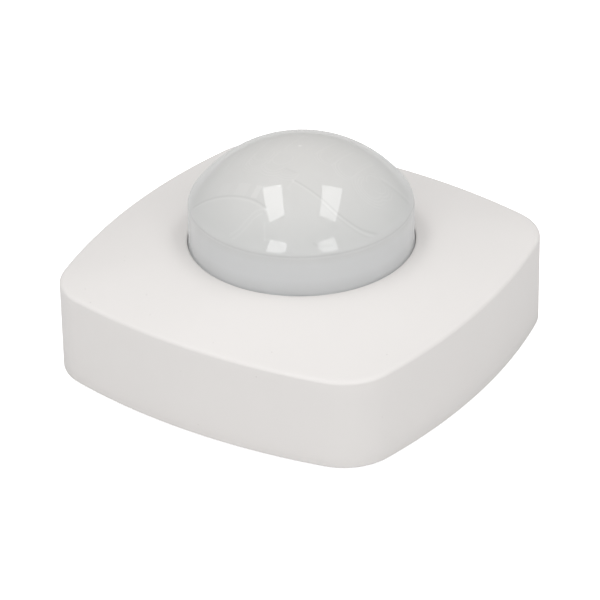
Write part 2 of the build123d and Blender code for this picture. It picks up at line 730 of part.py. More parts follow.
def along_y(radius, y, x=RELAY_X, z=COIL_Z):
    """Cylinder along Y between a pair of coordinates."""
    turned = Rot(X=-90) * Cylinder(radius, y[1] - y[0], align=ON_BOTTOM)
    return Pos(x, y[0], z) * turned


def make_relay_coil():
    winding = along_y(COIL_RADIUS, (COIL_Y[0] + BOBBIN_FLANGE, COIL_Y[1] - BOBBIN_FLANGE))
    ends = [(COIL_Y[0], COIL_Y[0] + BOBBIN_FLANGE), (COIL_Y[1] - BOBBIN_FLANGE, COIL_Y[1])]
    for end in ends:
        winding += along_y(BOBBIN_RADIUS, end)
    return winding - along_y(CORE_RADIUS, COIL_Y)


def make_relay_yoke():
    x = around(RELAY_X, YOKE_HALF_X)
    core = along_y(CORE_RADIUS, (CORE_TIP_Y, YOKE_Y - YOKE))
    upright = slab(x, (YOKE_Y - YOKE, YOKE_Y), (RELAY_BASE_TOP, YOKE_TOP - YOKE))
    arm = slab(x, (YOKE_TIP_Y, YOKE_Y), (YOKE_TOP - YOKE, YOKE_TOP))
    return core + upright + arm


def make_relay_armature():
    """Plate that rocks on a half-round bead along its top edge."""
    x = around(RELAY_X, ARMATURE_HALF_X)
    bead = Rot(Y=90) * Cylinder(ARMATURE_PIVOT_RADIUS, 2 * ARMATURE_HALF_X)
    return slab(x, ARMATURE_Y, ARMATURE_Z) + Pos(RELAY_X, ARMATURE_Y[1], ARMATURE_PIVOT_Z) * bead


def make_relay_contacts():
    blade_y, face_y = CONTACT_Y[:2], CONTACT_Y[1:]
    blade = slab(around(RELAY_X, CONTACT_HALF_X), blade_y, (RELAY_BASE_TOP, CONTACT_TOP))
    return blade + along_y(BUTTON_RADIUS, face_y, z=BUTTON_Z)


# ---- other components ---------------------------------------------------------------
def on_board(low, high):
    """Pair of heights above the main board."""
    return (BOARD_TOP + low, BOARD_TOP + high)


def make_film_capacitor():
    body = slab(FILM_X, FILM_Y, on_board(0, FILM_HEIGHT))
    return fillet(body.edges().filter_by(Axis.Z), FILM_FILLET)


def make_electrolytic_capacitors():
    cans = []
    for x, y, radius, height in CANS:
        groove = tube(radius, radius - CAN_GROOVE, *on_board(*CAN_GROOVE_Z), x, y)
        cans.append(rod(radius, *on_board(0, height), x, y) - groove)
    return solid_of(cans)


def make_varistor():
    disc = along_y(VARISTOR_RADIUS, VARISTOR_Y, x=VARISTOR_X, z=BOARD_TOP + VARISTOR_Z)
    middle = around(sum(VARISTOR_Y) / 2, VARISTOR_LEG_HALF)
    for side in (-1, 1):
        x = around(VARISTOR_X + side * VARISTOR_LEG_AT, VARISTOR_LEG_HALF)
        disc += slab(x, middle, on_board(0, VARISTOR_LEG_TOP))
    return disc


def along_x(radius, length):
    """Cylinder along X, centred on the fusible resistor's place."""
    return Pos(RESISTOR_X, RESISTOR_Y, BOARD_TOP + RESISTOR_Z) * Rot(Y=90) * Cylinder(radius, length)


def make_fusible_resistor():
    wire = 2 * (RESISTOR_LEAD_AT + RESISTOR_LEAD_HALF)
    resistor = along_x(RESISTOR_RADIUS, RESISTOR_LENGTH) + along_x(RESISTOR_LEAD_HALF, wire)
    y = around(RESISTOR_Y, RESISTOR_LEAD_HALF)
    for side in (-1, 1):
        x = around(RESISTOR_X + side * RESISTOR_LEAD_AT, RESISTOR_LEAD_HALF)
        resistor += slab(x, y, on_board(0, RESISTOR_Z))
    return resistor


def make_bridge_rectifier():
    return slab(RECTIFIER_X, RECTIFIER_Y, on_board(0, RECTIFIER_HEIGHT))


def make_choke():
    place = (CHOKE_X, CHOKE_Y)
    core = rod(CHOKE_WAIST_RADIUS, *on_board(0, CHOKE_HEIGHT), *place)
    core += rod(CHOKE_RIM_RADIUS, *on_board(0, CHOKE_RIM), *place)
    return core + rod(CHOKE_RIM_RADIUS, *on_board(CHOKE_HEIGHT - CHOKE_RIM, CHOKE_HEIGHT), *place)


def make_control_chip():
    chip = slab(around(0, CHIP_HALF), around(CHIP_Y, CHIP_HALF), on_board(*CHIP_Z))
    reach = CHIP_LEG_REACH
    z = on_board(0, CHIP_LEG_TOP)
    for n in range(CHIP_LEGS):
        offset = (n - (CHIP_LEGS - 1) / 2) * CHIP_LEG_PITCH
        chip += slab(around(offset, CHIP_LEG_HALF), around(CHIP_Y, reach), z)
        chip += slab(around(0, reach), around(CHIP_Y + offset, CHIP_LEG_HALF), z)
    return chip


def make_chip_components():
    chips = []
    for x, y, count in CHIP_ROWS:
        for n in range(count):
            place = around(x + CHIP_ROW_PITCH * n, CHIP_ROW_HALF_X)
            chips.append(slab(place, around(y, CHIP_ROW_HALF_Y), on_board(0, CHIP_ROW_HEIGHT)))
    return solid_of(chips)


# ---- sensor side --------------------------------------------------------------------
def on_sensor_board(low, high):
    """Pair of heights above the sensor board."""
    return (SENSOR_BOARD_TOP + low, SENSOR_BOARD_TOP + high)


def pir_leads(radius):
    """The three leads of the pyroelectric sensor."""
    places = [on_ring(PIR_LEAD_AT, angle) for angle in PIR_LEAD_ANGLES]
    return solid_of(rod(radius, SENSOR_BOARD_TOP, PIR_BASE_LOW, x, y) for x, y in places)


def make_pir_spacer():
    return rod(PIR_BASE_RADIUS, SENSOR_BOARD_TOP, PIR_BASE_LOW) - pir_leads(PIR_LEAD_HOLE)


def make_pir_base():
    return rod(PIR_BASE_RADIUS, PIR_BASE_LOW, PIR_CAN_LOW) + pir_leads(PIR_LEAD_RADIUS)


def make_pir_can():
    roof = PIR_TOP - PIR_WALL
    can = rod(PIR_RADIUS, PIR_CAN_LOW, PIR_TOP) - rod(PIR_RADIUS - PIR_WALL, PIR_CAN_LOW, roof)
    half = around(0, PIR_WINDOW_HALF)
    return can - slab(half, half, (roof, PIR_TOP))


def make_pir_window():
    half = around(0, PIR_WINDOW_HALF + PIR_WINDOW_LAP)
    roof = PIR_TOP - PIR_WALL
    return slab(half, half, (roof - PIR_WINDOW, roof))


def make_light_sensor():
    return rod(LIGHT_SENSOR_RADIUS, *on_sensor_board(0, LIGHT_SENSOR_HEIGHT), *LIGHT_SENSOR_AT)


def make_indicator_led():
    rim = rod(LED_RIM_RADIUS, *on_sensor_board(0, LED_RIM), *LED_AT)
    barrel = rod(LED_RADIUS, *on_sensor_board(0, LED_BARREL), *LED_AT)
    return rim + barrel + Pos(*LED_AT, SENSOR_BOARD_TOP + LED_BARREL) * Sphere(LED_RADIUS)


def make_amplifier_chip():
    y = around(AMPLIFIER_Y, AMPLIFIER_HALF_Y)
    return slab(around(0, AMPLIFIER_HALF_X), y, on_sensor_board(0, AMPLIFIER_HEIGHT))


def make_sensor_shroud():
    shroud = rod(SHROUD_RADIUS, SHROUD_LOW, SHROUD_TOP)
    shroud += tube(*SHROUD_FOOT, SENSOR_BOARD_TOP, SHROUD_LOW)
    shroud -= rod(PIR_OPENING, SHROUD_LOW, SHROUD_TOP)
    shroud -= rod(LED_OPENING, SHROUD_LOW, SHROUD_TOP, *LED_AT)
    return shroud - rod(LIGHT_SENSOR_OPENING, SHROUD_LOW, SHROUD_TOP, *LIGHT_SENSOR_AT)


# ---- write every piece --------------------------------------------------------------
PARTS = {
    "front_cover": make_front_cover,
    "lens_dome": make_lens_dome,
    "lens_ring": make_lens_ring,
    "lens_ring_screws": make_lens_ring_screws,
    "mounting_base": make_mounting_base,
    "cable_grommet": make_cable_grommet,
    "cable_clamp_bar": make_cable_clamp_bar,
    "cable_clamp_screws": make_cable_clamp_screws,
    "main_board": make_main_board,
    "sensor_board": make_sensor_board,
    "sensor_board_screws": make_sensor_board_screws,
    "board_standoffs": make_board_standoffs,
    "board_header": make_board_header,
    "header_pins": make_header_pins,
    "electronics_housing": make_electronics_housing,
    "housing_screws": make_housing_screws,
    "terminal_block": make_terminal_block,
    "terminal_plates": make_terminal_plates,
    "dial_potentiometers": make_dial_potentiometers,
    "relay_case": make_relay_case,
    "relay_base": make_relay_base,
    "relay_coil": make_relay_coil,
    "relay_yoke": make_relay_yoke,
    "relay_armature": make_relay_armature,
    "relay_contacts": make_relay_contacts,
    "film_capacitor": make_film_capacitor,
    "electrolytic_capacitors": make_electrolytic_capacitors,
    "varistor": make_varistor,
    "fusible_resistor": make_fusible_resistor,
    "bridge_rectifier": make_bridge_rectifier,
    "choke": make_choke,
    "control_chip": make_control_chip,
    "chip_components": make_chip_components,
    "pir_spacer": make_pir_spacer,
    "pir_base": make_pir_base,
    "pir_can": make_pir_can,
    "pir_window": make_pir_window,
    "light_sensor": make_light_sensor,
    "indicator_led": make_indicator_led,
    "amplifier_chip": make_amplifier_chip,
    "sensor_shroud": make_sensor_shroud,
}
DIAL_NAMES = ("sensitivity_dial", "time_dial", "light_level_dial")

os.makedirs("parts", exist_ok=True)
for name, make in PARTS.items():
    export_step(make(), f"parts/{name}.step")
for name, x in zip(DIAL_NAMES, DIAL_X):
    export_step(make_dial(x), f"parts/{name}.step")
for number, x in enumerate(POLE_X, start=1):
    export_step(make_terminal_cage(x), f"parts/terminal_cage_{number}.step")
    export_step(make_terminal_screw(x), f"parts/terminal_screw_{number}.step")
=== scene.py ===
import json
from math import atan2, cos, pi, radians, sin, sqrt, tan

import bpy
import numpy as np
from mathutils import Matrix, Vector


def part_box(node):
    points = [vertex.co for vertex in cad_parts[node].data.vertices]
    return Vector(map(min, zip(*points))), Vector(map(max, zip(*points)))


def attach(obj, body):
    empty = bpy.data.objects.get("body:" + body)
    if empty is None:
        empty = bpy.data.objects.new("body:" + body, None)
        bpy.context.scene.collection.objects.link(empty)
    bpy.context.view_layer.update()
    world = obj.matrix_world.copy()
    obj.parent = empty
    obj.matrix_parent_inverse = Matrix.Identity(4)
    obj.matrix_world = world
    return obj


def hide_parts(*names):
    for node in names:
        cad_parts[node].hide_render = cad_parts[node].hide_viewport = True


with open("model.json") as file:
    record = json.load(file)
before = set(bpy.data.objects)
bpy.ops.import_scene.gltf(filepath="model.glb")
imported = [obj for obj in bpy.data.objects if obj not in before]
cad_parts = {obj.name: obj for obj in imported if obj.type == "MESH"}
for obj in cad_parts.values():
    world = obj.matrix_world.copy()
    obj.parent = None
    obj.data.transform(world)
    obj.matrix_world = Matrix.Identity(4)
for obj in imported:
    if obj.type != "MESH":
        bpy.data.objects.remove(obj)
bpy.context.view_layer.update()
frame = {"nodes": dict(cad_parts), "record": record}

MM = 0.001
NODES = frame["nodes"]


# ---- meshes -------------------------------------------------------------------------
def mesh_object(name, points, faces, smooth=True):
    """New object from points in millimetres."""
    mesh = bpy.data.meshes.new(name)
    mesh.from_pydata([tuple(float(c) * MM for c in p) for p in points], [], faces)
    mesh.validate()
    mesh.update()
    mesh.polygons.foreach_set("use_smooth", [smooth] * len(mesh.polygons))
    made = bpy.data.objects.new(name, mesh)
    bpy.context.scene.collection.objects.link(made)
    return made


def ring_grid_faces(rings, around, closed):
    """Quads between successive rings of points; closed joins the last ring to the first."""
    faces = []
    for i in range(rings if closed else rings - 1):
        a, b = i * around, ((i + 1) % rings) * around
        for j in range(around):
            k = (j + 1) % around
            faces.append((a + j, a + k, b + k, b + j))
    return faces


def sharpen(made, angle=35.0):
    """Smooth shading that keeps edges steeper than angle, set on the mesh itself."""
    made.data.polygons.foreach_set("use_smooth", [True] * len(made.data.polygons))
    made.data.set_sharp_from_angle(angle=radians(angle))


# ---- node materials -----------------------------------------------------------------
def new_material(name):
    material = bpy.data.materials.new(name)
    material.use_nodes = True
    tree = material.node_tree
    return material, tree, tree.nodes["Principled BSDF"]


def noise(tree, scale_mm, detail=3.0, roughness=0.55):
    """Noise in the object's own coordinates, its features about scale_mm across."""
    place = tree.nodes.new("ShaderNodeTexCoord")
    texture = tree.nodes.new("ShaderNodeTexNoise")
    texture.inputs["Scale"].default_value = 1.0 / (scale_mm * MM)
    texture.inputs["Detail"].default_value = detail
    texture.inputs["Roughness"].default_value = roughness
    tree.links.new(place.outputs["Object"], texture.inputs["Vector"])
    return texture.outputs["Fac"]


def spread(tree, value, low, high, from_low=0.3, from_high=0.7):
    """A 0-1 pattern stretched between two values."""
    node = tree.nodes.new("ShaderNodeMapRange")
    for socket, number in zip(("From Min", "From Max", "To Min", "To Max"), (from_low, from_high, low, high)):
        node.inputs[socket].default_value = number
    tree.links.new(value, node.inputs["Value"])
    return node.outputs["Result"]


def blend_colours(tree, value, low, high):
    """Colour that goes from low to high with a 0-1 value."""
    ramp = tree.nodes.new("ShaderNodeValToRGB")
    ramp.color_ramp.elements[0].color = (*low, 1)
    ramp.color_ramp.elements[1].color = (*high, 1)
    tree.links.new(value, ramp.inputs["Fac"])
    return ramp.outputs["Color"]


def bump(tree, shader, height, distance_mm, strength=1.0):
    node = tree.nodes.new("ShaderNodeBump")
    node.inputs["Distance"].default_value = distance_mm * MM
    node.inputs["Strength"].default_value = strength
    tree.links.new(height, node.inputs["Height"])
    tree.links.new(node.outputs["Normal"], shader.inputs["Normal"])


def surface(name, colour, rough, grain_mm=0.35, grain_height_mm=0.01, tone=0.03, metal=0.0, cloud_mm=9.0):
    """Moulded or rolled surface: clouded colour, uneven gloss and a fine grain."""
    material, tree, shader = new_material(name)
    cloud = noise(tree, cloud_mm)
    low = [c * (1 - tone) for c in colour]
    high = [min(1.0, c * (1 + tone)) for c in colour]
    tree.links.new(blend_colours(tree, spread(tree, cloud, 0, 1), low, high), shader.inputs["Base Color"])
    grain = noise(tree, grain_mm, detail=2.0)
    tree.links.new(spread(tree, grain, rough * 0.85, rough * 1.15), shader.inputs["Roughness"])
    shader.inputs["Metallic"].default_value = metal
    bump(tree, shader, grain, grain_height_mm)
    return material


def dress(made, material):
    made.data.materials.clear()
    made.data.materials.append(material)
    return made


# ---- cover outline ------------------------------------------------------------------
HALF_WIDTH = 52.5
SIDE_RADIUS = 165.0
CORNER_RADIUS = 15.0
COVER_WALL = 2.0
RIM_HEIGHT = 25.0
CROWN_RADIUS = 29.4
HOLE_RADIUS = 29.15
HOLE_HEIGHT = 30.4
RIM_SLOPE = 0.287
HOLE_SLOPE = 0.105
ROUND_RC = 0.97
ROUND_RS = 1.05
ROUND_STEP = 1.12
SIDE_POINTS = 28
CORNER_POINTS = 20
FOOT_EASE = 0.3
PEG_AT = 39.4
# radius and height of a peg, from its tip to the underside of the cover
PEG_PROFILE = ((1.2, 3.6), (1.5, 3.9), (1.5, 13.3), (2.6, 13.3), (2.6, 24.0))


def square_numbers(half, side, corner):
    """Drop of the side arcs' centres and place of the corner arcs' centres."""
    drop = side - half
    reach = side - corner
    centre = (sqrt(2 * reach**2 - drop**2) - drop) / 2
    return drop, centre


def square_reach(angle, half, side, corner):
    """Distance from the middle to the bulged square's edge at an angle from +Y, in radians."""
    drop, centre = square_numbers(half, side, corner)
    folded = angle % (pi / 2)
    folded = min(folded, pi / 2 - folded)
    tangent = atan2(centre, centre + drop)
    along, out = side * sin(tangent), side * cos(tangent) - drop
    c, s = cos(folded), sin(folded)
    if folded <= atan2(along, out):
        return -drop * c + sqrt(side**2 - (drop * s) ** 2)
    total = centre * (c + s)
    return total + sqrt(total**2 - 2 * centre**2 + corner**2)


def rim_angles():
    """Angles of points spread evenly over the side arcs and the corner arcs."""
    drop, centre = square_numbers(HALF_WIDTH, SIDE_RADIUS, CORNER_RADIUS)
    tangent = atan2(centre, centre + drop)
    angles = []
    for quarter in range(4):
        turn = quarter * pi / 2
        for i in range(SIDE_POINTS):
            t = tangent * (2 * i / SIDE_POINTS - 1)
            angles.append(turn + atan2(SIDE_RADIUS * sin(t), SIDE_RADIUS * cos(t) - drop))
        for i in range(CORNER_POINTS):
            t = tangent + (pi / 2 - 2 * tangent) * i / CORNER_POINTS
            x = centre + CORNER_RADIUS * sin(t)
            y = centre + CORNER_RADIUS * cos(t)
            angles.append(turn + atan2(x, y))
    return angles


ANGLES = rim_angles()


def plan_ring(half, side, corner, height):
    """Ring of points on a bulged square at one height."""
    ring = []
    for angle in ANGLES:
        reach = square_reach(angle, half, side, corner)
        ring.append((reach * sin(angle), reach * cos(angle), height))
    return np.array(ring)


def wall_ring(inset, height):
    return plan_ring(HALF_WIDTH - inset, SIDE_RADIUS - inset, CORNER_RADIUS - inset, height)


def crown_ring(step, inset=0.0):
    """Ring on the crowned top: the rim at step 0, the hole's edge at step 1."""
    mix = step / ROUND_STEP
    run = HALF_WIDTH - CROWN_RADIUS
    rise = HOLE_HEIGHT - RIM_HEIGHT
    half = HALF_WIDTH - step * run
    end_half = HALF_WIDTH - ROUND_STEP * run
    corner = CORNER_RADIUS + mix * (ROUND_RC * end_half - CORNER_RADIUS)
    side = 1 / ((1 - mix) / SIDE_RADIUS + mix / (ROUND_RS * end_half))
    first, last = RIM_SLOPE * run / rise, HOLE_SLOPE * run / rise
    cubic = first + last - 2
    square = 1 - first - cubic
    height = RIM_HEIGHT + rise * (first * step + square * step**2 + cubic * step**3)
    return plan_ring(half - inset, side - inset, corner - inset, height - inset)


def rounded(start, corner, end, steps):
    """Rings that turn smoothly from start to end round a corner ring, both ends left out."""
    rings = []
    for i in range(1, steps):
        u = i / steps
        rings.append((1 - u) ** 2 * start + 2 * u * (1 - u) * corner + u**2 * end)
    return rings


def onto_hole(ring, radius):
    """The ring with its plan distance changed to the hole's radius, heights kept."""
    reach = np.hypot(ring[:, 0], ring[:, 1])[:, None]
    moved = ring.copy()
    moved[:, :2] = ring[:, :2] / reach * radius
    return moved


def upright_post(radii_heights, x, y, around=32):
    """Closed turned post: rings of (radius, height) and flat ends."""
    points, faces = [], []
    for radius, height in radii_heights:
        points += [(x + radius * sin(2 * pi * j / around), y + radius * cos(2 * pi * j / around), height)
                   for j in range(around)]
    faces += ring_grid_faces(len(radii_heights), around, closed=False)
    last = (len(radii_heights) - 1) * around
    faces.append(tuple(range(around)))
    faces.append(tuple(last + around - 1 - j for j in range(around)))
    return points, faces


def make_cover():
    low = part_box("front_cover")[0].z / MM
    rim_top = wall_ring(0, RIM_HEIGHT)
    wall_top = wall_ring(0, RIM_HEIGHT - 0.85)
    crown_start = crown_ring(0.034)
    crown_steps = [0.034 + (0.985 - 0.034) * i / 26 for i in range(27)]
    crown = [crown_ring(s) for s in crown_steps]
    hole_edge = onto_hole(crown_ring(1.01), HOLE_RADIUS)
    lip_low = hole_edge - np.array([0, 0, 0.3])
    under_edge = onto_hole(crown_ring(0.98, COVER_WALL), HOLE_RADIUS)
    rings = [wall_ring(COVER_WALL, low + FOOT_EASE), wall_ring(COVER_WALL - FOOT_EASE, low)]
    rings += [wall_ring(FOOT_EASE, low)]
    rings += rounded(wall_ring(FOOT_EASE, low), wall_ring(0, low), wall_ring(0, low + FOOT_EASE), 3)
    rings += [wall_ring(0, low + FOOT_EASE + (RIM_HEIGHT - 1.15 - low) * i / 8) for i in range(9)]
    rings += rounded(wall_top, rim_top, crown_start, 7)
    rings += crown
    rings += rounded(crown[-1], hole_edge, lip_low, 4)
    rings += [lip_low, under_edge]
    rings += [crown_ring(0.95 - 0.95 * i / 10, COVER_WALL) for i in range(11)]
    rings += [wall_ring(COVER_WALL, RIM_HEIGHT - COVER_WALL - 1.2), wall_ring(COVER_WALL, low + 6)]
    points = np.concatenate(rings)
    faces = [tuple(reversed(f)) for f in ring_grid_faces(len(rings), len(ANGLES), closed=True)]
    points, faces = list(map(tuple, points)), list(faces)
    for sx in (-1, 1):
        for sy in (-1, 1):
            post, post_faces = upright_post(PEG_PROFILE, sx * PEG_AT, sy * PEG_AT)
            faces += [tuple(i + len(points) for i in f) for f in post_faces]
            points += post
    cover = mesh_object("cover_shell", points, faces)
    sharpen(cover, 50)
    return cover


# ---- lens ---------------------------------------------------------------------------
BAND_RADIUS = 28.8
SHOULDER_RADIUS = 3.7
CAP_RADIUS = 34.5
APEX_HEIGHT = 56.9
LENS_WALL = 1.3
OUTER_RELIEF = 0.004
INNER_RELIEF = 0.06
SEAM_HEIGHT = 41.1
SEAM_DEPTH = 0.05
FLANGE_RADIUS = 32.2
FLANGE_LOW = 24.3
FLANGE_TOP = 25.6
# bead under the edge of the cover's hole, which lightens the gap round the dome
BEAD_RADIUS = 29.0
BEAD_TOP = 30.05


def dome_profile(inset, cap_steps, shoulder_steps, band_steps, low):
    """(radius, height) points from the apex down the band, moved in by inset."""
    cap_centre = APEX_HEIGHT - CAP_RADIUS
    shoulder_x = BAND_RADIUS - SHOULDER_RADIUS
    shoulder_z = cap_centre + sqrt((CAP_RADIUS - SHOULDER_RADIUS) ** 2 - shoulder_x**2)
    tilt = atan2(shoulder_x, shoulder_z - cap_centre)
    cap, shoulder = CAP_RADIUS - inset, SHOULDER_RADIUS - inset
    profile = [(cap * sin(tilt * i / cap_steps), cap_centre + cap * cos(tilt * i / cap_steps))
               for i in range(1, cap_steps + 1)]
    for i in range(1, shoulder_steps + 1):
        a = tilt + (pi / 2 - tilt) * i / shoulder_steps
        profile.append((shoulder_x + shoulder * sin(a), shoulder_z + shoulder * cos(a)))
    for i in range(1, band_steps + 1):
        profile.append((BAND_RADIUS - inset, shoulder_z + (low - shoulder_z) * i / band_steps))
    return profile


def turned(profile, around, apex):
    """Points of a turned surface, apex first, then its rings."""
    turn = np.arange(around) * 2 * pi / around
    points = [(0, 0, apex)]
    for radius, height in profile:
        points += list(zip(radius * np.sin(turn), radius * np.cos(turn), [height] * around))
    return points


def fan_faces(around):
    return [(0, 1 + j, 1 + (j + 1) % around) for j in range(around)]


# Fresnel pattern: places in plan on the outside of the cap, in millimetres, read one by one
CELL_EDGES = (
    ((5.3, -0.8), (5.7, 8.2)), ((10.6, -1.9), (10.7, 8.5)), ((16.1, -1.8), (15.9, 9.4)),
    ((-2.6, -3.0), (-2.4, 5.7)), ((-3.5, -9.5), (-3.1, -4.3)), ((-9.4, -10.8), (-9.1, 0.9)),
    ((-15.1, -11.3), (-15.1, -2.3)), ((5.6, -14.5), (5.8, -9.7)),
)
# cells of rings: centre, radii, least x and y, greatest x and y
RING_CELLS = (
    ((-6.6, -6.4), (2.5, 3.3), (-9.1, -9.1), (-3.8, -4.7)),
    ((-6.7, -8.5), (2.6, 3.3, 3.9, 4.5), (-9.4, -13.2), (-3.8, -8.7)),
    ((-1.1, -6.3), (2.7,), (-3.3, -9.3), (1.7, -5.1)),
    ((-1.6, -8.5), (3.0, 3.8, 4.6), (-3.9, -14.0), (1.4, -9.4)),
    ((2.5, -8.5), (3.0, 3.7, 4.4), (1.5, -13.3), (5.6, -9.7)),
    ((8.8, 0.5), (2.7, 3.4, 4.1), (5.7, -3.5), (10.5, 1.5)),
    ((14.1, 0.7), (2.7, 3.5, 4.1), (10.8, -3.6), (16.0, 1.5)),
    ((20.4, 0.7), (2.4, 3.2, 3.9, 4.6), (16.6, -4.2), (24.4, 1.4)),
    ((20.3, 3.4), (2.4, 3.2, 4.0), (17.5, 1.3), (24.3, 6.1)),
)
# raised cells of the lowest row: least x, greatest x, strength
SQUARE_CELLS = ((-12.6, -9.4, 0.25), (-7.5, -4.1, 0.45), (-2.3, -0.7, 0.9))
SQUARE_ROW = (-19.5, -16.3)
SEAMS = (
    ((-20.0, -19.7), (-5.0, -19.7), (0.0, -20.0), (3.0, -20.6)),
    ((6.0, -11.8), (13.0, -12.0), (19.0, -12.0), (24.0, -10.2), (27.5, -6.5)),
)
FINE_LINES = (
    ((3.2, -20.9), (1.2, -21.8), (-0.3, -23.8), (-1.7, -26.0), (-3.6, -27.2)),
    ((2.7, -22.0), (1.3, -23.4), (0.3, -25.3), (-1.0, -26.8), (-2.8, -28.0)),
    ((4.4, -23.5), (6.0, -26.0)), ((6.0, -26.0), (8.5, -25.2), (11.0, -24.5)),
)
FINE_GROOVES = (((17.0, -20.9), (18.5, -20.3), (20.8, -18.1)), ((1.9, -9.6), (5.0, -9.6)))
FIELD_EDGE = ((20.5, 6.8), (25.5, 10.4))
FAR_STRENGTH = 0.5  # the hidden far half is a guess, so it is fainter


def segment_distance(x, y, start, end):
    (ax, ay), (bx, by) = start, end
    dx, dy = bx - ax, by - ay
    t = np.clip(((x - ax) * dx + (y - ay) * dy) / (dx * dx + dy * dy), 0, 1)
    return np.hypot(x - ax - t * dx, y - ay - t * dy)


def smooth_line(points, steps=12):
    """Points of a Catmull-Rom curve through the given ones."""
    ends = [tuple(2 * a - b for a, b in zip(points[0], points[1]))]
    last = [tuple(2 * a - b for a, b in zip(points[-1], points[-2]))]
    knots = ends + list(points) + last
    made = []
    for p0, p1, p2, p3 in zip(knots, knots[1:], knots[2:], knots[3:]):
        for i in range(steps):
            t = i / steps
            made.append(tuple(0.5 * (2 * b + (c - a) * t + (2 * a - 5 * b + 4 * c - d) * t**2
                                     + (3 * b - a - 3 * c + d) * t**3)
                              for a, b, c, d in zip(p0, p1, p2, p3)))
    return made + [points[-1]]


def ridge(distance, width):
    return np.exp(-((distance / width) ** 2))


def curve_distance(x, y, curve):
    """Signed distance to a smooth curve, positive on its left."""
    knots = smooth_line(curve)
    best = np.full_like(x, 1e9)
    side = np.zeros_like(x)
    for (ax, ay), (bx, by) in zip(knots, knots[1:]):
        distance = segment_distance(x, y, (ax, ay), (bx, by))
        cross = (bx - ax) * (y - ay) - (by - ay) * (x - ax)
        nearer = distance < best
        best = np.where(nearer, distance, best)
        side = np.where(nearer, np.sign(cross), side)
    return best * side


def one_half_pattern(x, y):
    """Pattern on one half of the cap: raised lines positive, grooves negative."""
    height = np.zeros_like(x)
    for start, end in CELL_EDGES:
        height += 0.5 * ridge(segment_distance(x, y, start, end), 0.22)
    for (cx, cy), radii, (x_low, y_low), (x_high, y_high) in RING_CELLS:
        edge = np.minimum(np.minimum(x - x_low, x_high - x), np.minimum(y - y_low, y_high - y))
        inside = np.clip(edge / 0.4 + 0.5, 0, 1)
        reach = np.hypot(x - cx, y - cy)
        height -= 0.14 * inside * (reach < radii[0])
        for radius in radii:
            off = reach - radius
            height += inside * (0.55 * ridge(off, 0.16) - 0.3 * ridge(off - 0.36, 0.18))
    for low, high, strength in SQUARE_CELLS:
        inside = (x > low) & (x < high) & (y > SQUARE_ROW[0]) & (y < SQUARE_ROW[1])
        height += strength * inside
    for curve in SEAMS:
        distance = curve_distance(x, y, curve)
        height += 0.9 * ridge(distance + 0.5, 0.25) - 1.5 * ridge(distance, 0.24)
        height -= 0.7 * ridge(distance + 0.95, 0.2) * (x > 15)
    for curve in FINE_LINES:
        height += 0.8 * ridge(curve_distance(x, y, curve), 0.2)
    for curve in FINE_GROOVES:
        height -= 0.8 * ridge(curve_distance(x, y, curve), 0.22)
    beyond = curve_distance(x, y, FIELD_EDGE)
    return height + 0.6 * ridge(beyond - 0.5, 0.6) - 0.6 * ridge(beyond + 0.5, 0.6)


def lens_pattern(x, y):
    """The Fresnel pattern of the whole cap, the far half repeating the near one."""
    near = one_half_pattern(x, y)
    far = FAR_STRENGTH * one_half_pattern(-x, -y)
    # gate mark at the apex: raised a little in the shape, and its lighter colour is a painted highlight
    gate = 3.0 * ridge(np.hypot(x, y), 0.42)
    return near + far + gate


def moulded(points, amplitude):
    """Points moved along the cap's normal by the pattern, and the pattern itself."""
    centre = np.array([0, 0, APEX_HEIGHT - CAP_RADIUS])
    outward = points - centre
    outward /= np.linalg.norm(outward, axis=1)[:, None]
    outside = CAP_RADIUS * outward
    reach = np.hypot(points[:, 0], points[:, 1])
    on_cap = np.clip((BAND_RADIUS - 0.7 - reach) / 0.4, 0, 1)
    height = lens_pattern(outside[:, 0], outside[:, 1]) * on_cap
    return points + outward * (amplitude * height)[:, None], height


def seam_line(points):
    """Strength of the fine parting line round the shoulder."""
    reach = np.hypot(points[:, 0], points[:, 1])
    return ridge(points[:, 2] - SEAM_HEIGHT, 0.22) * (reach > BAND_RADIUS - 1)


